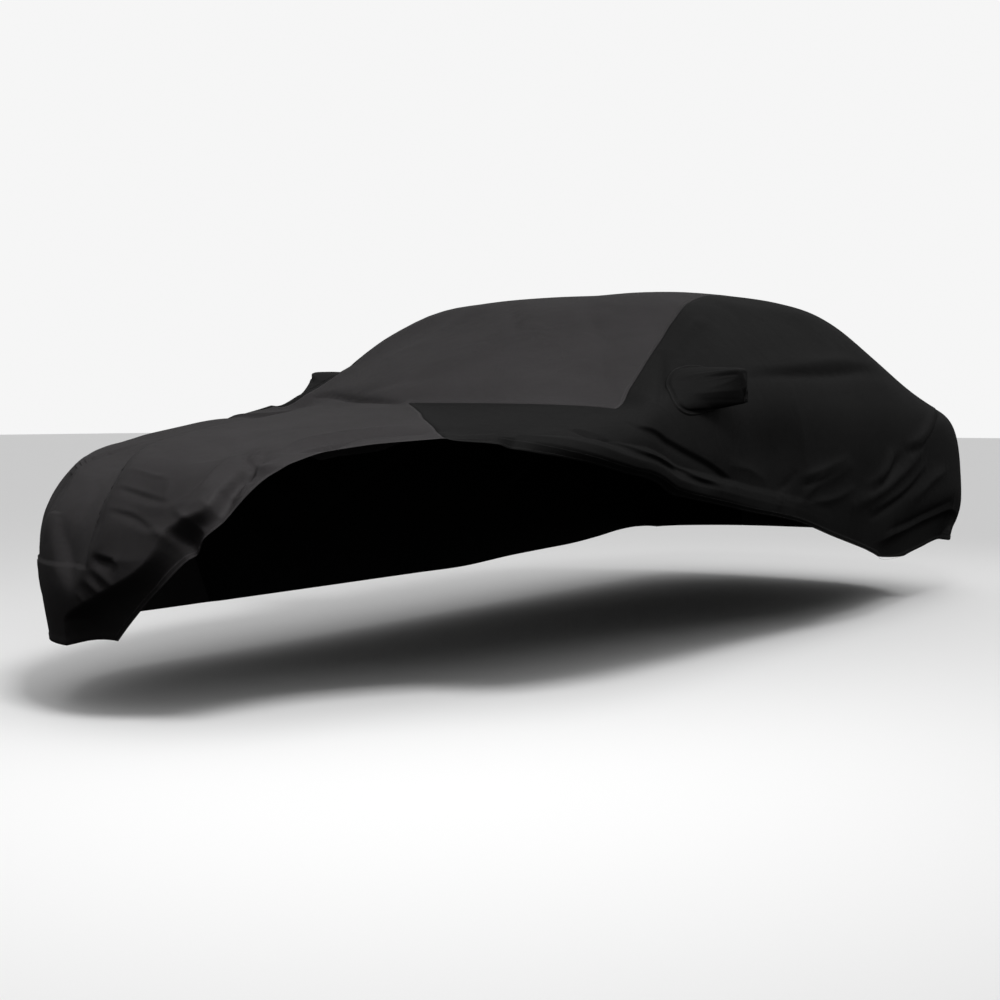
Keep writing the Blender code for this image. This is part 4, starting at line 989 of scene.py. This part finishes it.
def pocket_places(side, grow):
    """Ring of places round the pocket's hole on one side, grown by a share."""
    high_front, high_rear, low_rear, low_front = np.array(POCKET_CORNERS) * (1.0, side)
    c, s = pocket_outline(POCKET_POWER)
    u, v = (c[:, None] * grow + 1) / 2, (s[:, None] * grow + 1) / 2
    return (high_front * (1 - u) + high_rear * u) * (1 - v) + (low_front * (1 - u) + low_rear * u) * v


def make_pocket(name, side, node, tip_place):
    """A pouch of black cloth with its ring of thread, from the flange on its panel to its closed end."""
    base = stretched(pocket_places(side, 1.0))
    middle = base.mean(axis=0)
    normal = normals_of(stretched, pocket_places(side, 1.0).mean(axis=0, keepdims=True))[0]
    laid = [on_cloth(pocket_places(side, grow))[0] for grow in FLANGE_RINGS]
    normals = normals_of(stretched, pocket_places(side, 1.0))
    c, s = pocket_outline(TIP_POWER)
    end_middle = np.array(tip_place) - ORIGIN
    end = np.stack([np.zeros(POCKET_SIDES), TIP_HALF_Y * c, -TIP_HALF_Z * s], 1)
    key = [laid[2] + normals * POCKET_RISE]
    for ring in POCKET_RINGS:
        centre = middle * (1 - ring.share) + end_middle * ring.share
        around_centre = (laid[2] - middle) * (1 - ring.share) + end * ring.share
        key.append(centre + around_centre * (1.0, ring.deep, ring.tall))
    key = np.array(key)
    steps = np.linspace(0, len(key) - 1, (len(key) - 1) * RING_STEPS + 1)
    body = hermite(key, np.arange(len(key)), steps)
    angle = np.arange(POCKET_SIDES) / POCKET_SIDES
    for k, step in enumerate(steps):
        ring_middle = body[k].mean(axis=0)
        out = body[k] - ring_middle
        reach = np.linalg.norm(out, axis=1, keepdims=True)
        fade = math.sin(math.pi * min(1.0, max(0.0, step / POCKET_FOLD_RUN)))
        fold = np.zeros(POCKET_SIDES)
        for row in POCKET_FOLDS:
            gap = np.abs((angle - row.place - row.slant * step + 0.5) % 1.0 - 0.5)
            fold += row.height * np.exp(-(gap / row.width) ** 2)
        body[k] += out / reach * (fold * fade)[:, None]
        under = np.maximum(0.0, -out[:, 2] - BEVEL_FROM * np.abs(out[:, 2]).max()) * (out[:, 1] < 0)
        body[k][:, 1] += under * BEVEL * min(1.0, step)
    tip = end_middle + np.array([side * TIP_REACH, 0, 0])
    caps = [body[-1] * (1 - t) + tip * t + np.array([side, 0, 0]) * CAP_SWELL * math.sin(math.pi * t)
            for t in CAP_SHARES]
    flange = [ring + normals * lift for ring, lift in zip(laid, FLANGE_LIFTS)]
    rings = flange + list(body) + caps
    bm = bmesh.new()
    thread = bm.verts.layers.float_vector.new("thread")
    rows, run = [], 0.0
    for k, ring in enumerate(rings):
        if k:
            run += float(np.linalg.norm(ring - rings[k - 1], axis=1).mean())
        girth = np.linalg.norm(np.roll(ring, -1, axis=0) - ring, axis=1)
        run_round = np.concatenate([[0.0], np.cumsum(girth)[:-1]])
        around_it = run_round * POCKET_GIRTH / max(SHORTEST_GIRTH, girth.sum())
        row = []
        for p, g in zip(ring, around_it):
            v = bm.verts.new(p)
            v[thread] = (run, g, 1.0)
            row.append(v)
        rows.append(row)
    end_point = bm.verts.new(tip)
    end_point[thread] = (run, 0.0, 1.0)
    for k in range(POCKET_SIDES):
        n = (k + 1) % POCKET_SIDES
        for inner_row, outer_row in zip(rows, rows[1:]):
            bm.faces.new((inner_row[k], outer_row[k], outer_row[n], inner_row[n]))
        bm.faces.new((rows[-1][k], end_point, rows[-1][n]))
    if side < 0:
        bmesh.ops.reverse_faces(bm, faces=bm.faces)
    piece = finish_sheet(name, bm, black_cloth)
    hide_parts(node)
    ring = (laid[0] * 0.45 + laid[1] * 0.55) + normals * POCKET_ROW_LIFT
    mesh = bpy.data.meshes.new(name + "_stitches")
    points = [tuple(p) for p in ring] + [tuple(ring[0])]
    mesh.from_pydata(points, [(k, k + 1) for k in range(POCKET_SIDES)], [])
    threads = lay_threads(add_object(name + "_stitches", mesh), black_thread)
    return piece


make_pocket("left_pocket_cloth", 1, "left_mirror_pocket", LEFT_TIP)
make_pocket("right_pocket_cloth", -1, "right_mirror_pocket", RIGHT_TIP)


# ================================================================ FLOOR, LIGHT AND CAMERA
# A wide pale floor under a pale sky, a broad soft light overhead, a soft one in front and a small one behind,
# and the camera low at the left front corner.
FLOOR = -(ROOF_TOP_Z - SOLID_CLOTH)
FLOOR_REACH = 60
floor_mesh = bpy.data.meshes.new("floor")
floor_corners = [(x * FLOOR_REACH, y * FLOOR_REACH, FLOOR) for x, y in ((-1, -1), (1, -1), (1, 1), (-1, 1))]
floor_mesh.from_pydata(floor_corners, [], [(0, 1, 2, 3)])
floor = add_object("floor", floor_mesh)
pale, _, _ = new_material("pale_floor", {"Base Color": (0.86, 0.86, 0.86, 1.0), "Roughness": 0.9})
floor_mesh.materials.append(pale)
floor.visible_diffuse = False
floor.visible_glossy = False

SKY_LOW, SKY_HIGH = 0.02, 0.42         # light from the sky at its lowest and its highest
SKY_FROM, SKY_TO = -0.22, 0.60         # heights between which it grows
SKY_SEEN = 0.92                        # and the sky's own brightness in the picture
world = bpy.data.worlds.new("studio")
bpy.context.scene.world = world
world.use_nodes = True
sky = world.node_tree.nodes["Background"]
sky.inputs["Color"].default_value = (1.0, 1.0, 1.0, 1.0)
rays = world.node_tree.nodes.new("ShaderNodeLightPath")
place = world.node_tree.nodes.new("ShaderNodeTexCoord")
height = world.node_tree.nodes.new("ShaderNodeSeparateXYZ")
glow = add_node(world.node_tree, "ShaderNodeMapRange", {
    "From Min": SKY_FROM, "From Max": SKY_TO, "To Min": SKY_LOW, "To Max": SKY_HIGH})
seen = add_node(world.node_tree, "ShaderNodeMapRange", {"To Max": SKY_SEEN})
for source, target in (
        (place.outputs["Generated"], height.inputs[0]), (height.outputs["Z"], glow.inputs["Value"]),
        (rays.outputs["Is Camera Ray"], seen.inputs["Value"]),
        (glow.outputs["Result"], seen.inputs["To Min"]), (seen.outputs["Result"], sky.inputs["Strength"])):
    world.node_tree.links.new(source, target)


def soft_light(name, place, aim, size, power, spread):
    """A rectangle of light aimed from one place at another, with its power in watts and spread in degrees."""
    light = bpy.data.lights.new(name, "AREA")
    light.shape = "RECTANGLE"
    light.size, light.size_y = size
    light.energy = power
    light.spread = math.radians(spread)
    lamp = add_object(name, light)
    lamp.location = place
    lamp.rotation_euler = (Vector(aim) - Vector(place)).to_track_quat("-Z", "Y").to_euler()


soft_light("front", (2.9, -4.3, 3.9), (0.3, -2.4, -0.6), (1.5, 1.2), 46, 80)
soft_light("rear", (3.9, 3.6, 3.0), (0.8, 1.8, -0.9), (1.5, 1.2), 11, 75)
overhead = bpy.data.lights.new("overhead", "SUN")
overhead.angle = math.radians(70)
overhead.energy = 1.12
lamp = add_object("overhead", overhead)
lamp.rotation_euler = Vector((0.48, -0.10, 1.0)).to_track_quat("Z", "Y").to_euler()

SENSOR_WIDTH = 36.0         # millimetres, as is the lens
LENS = 55.9
CAMERA_PLACE = (3.300, -6.139, -0.528)
LOOK_DOWN, LOOK_LEFT = 3.088, 33.185    # degrees below level, and turned left from straight rearwards

camera_data = bpy.data.cameras.new("camera")
camera_data.sensor_width = SENSOR_WIDTH
camera_data.lens = LENS
camera = add_object("camera", camera_data)
camera.location = CAMERA_PLACE
camera.rotation_euler = (math.radians(90 - LOOK_DOWN), 0.0, math.radians(LOOK_LEFT))
bpy.context.scene.camera = camera
bpy.context.scene.view_settings.view_transform = "Standard"
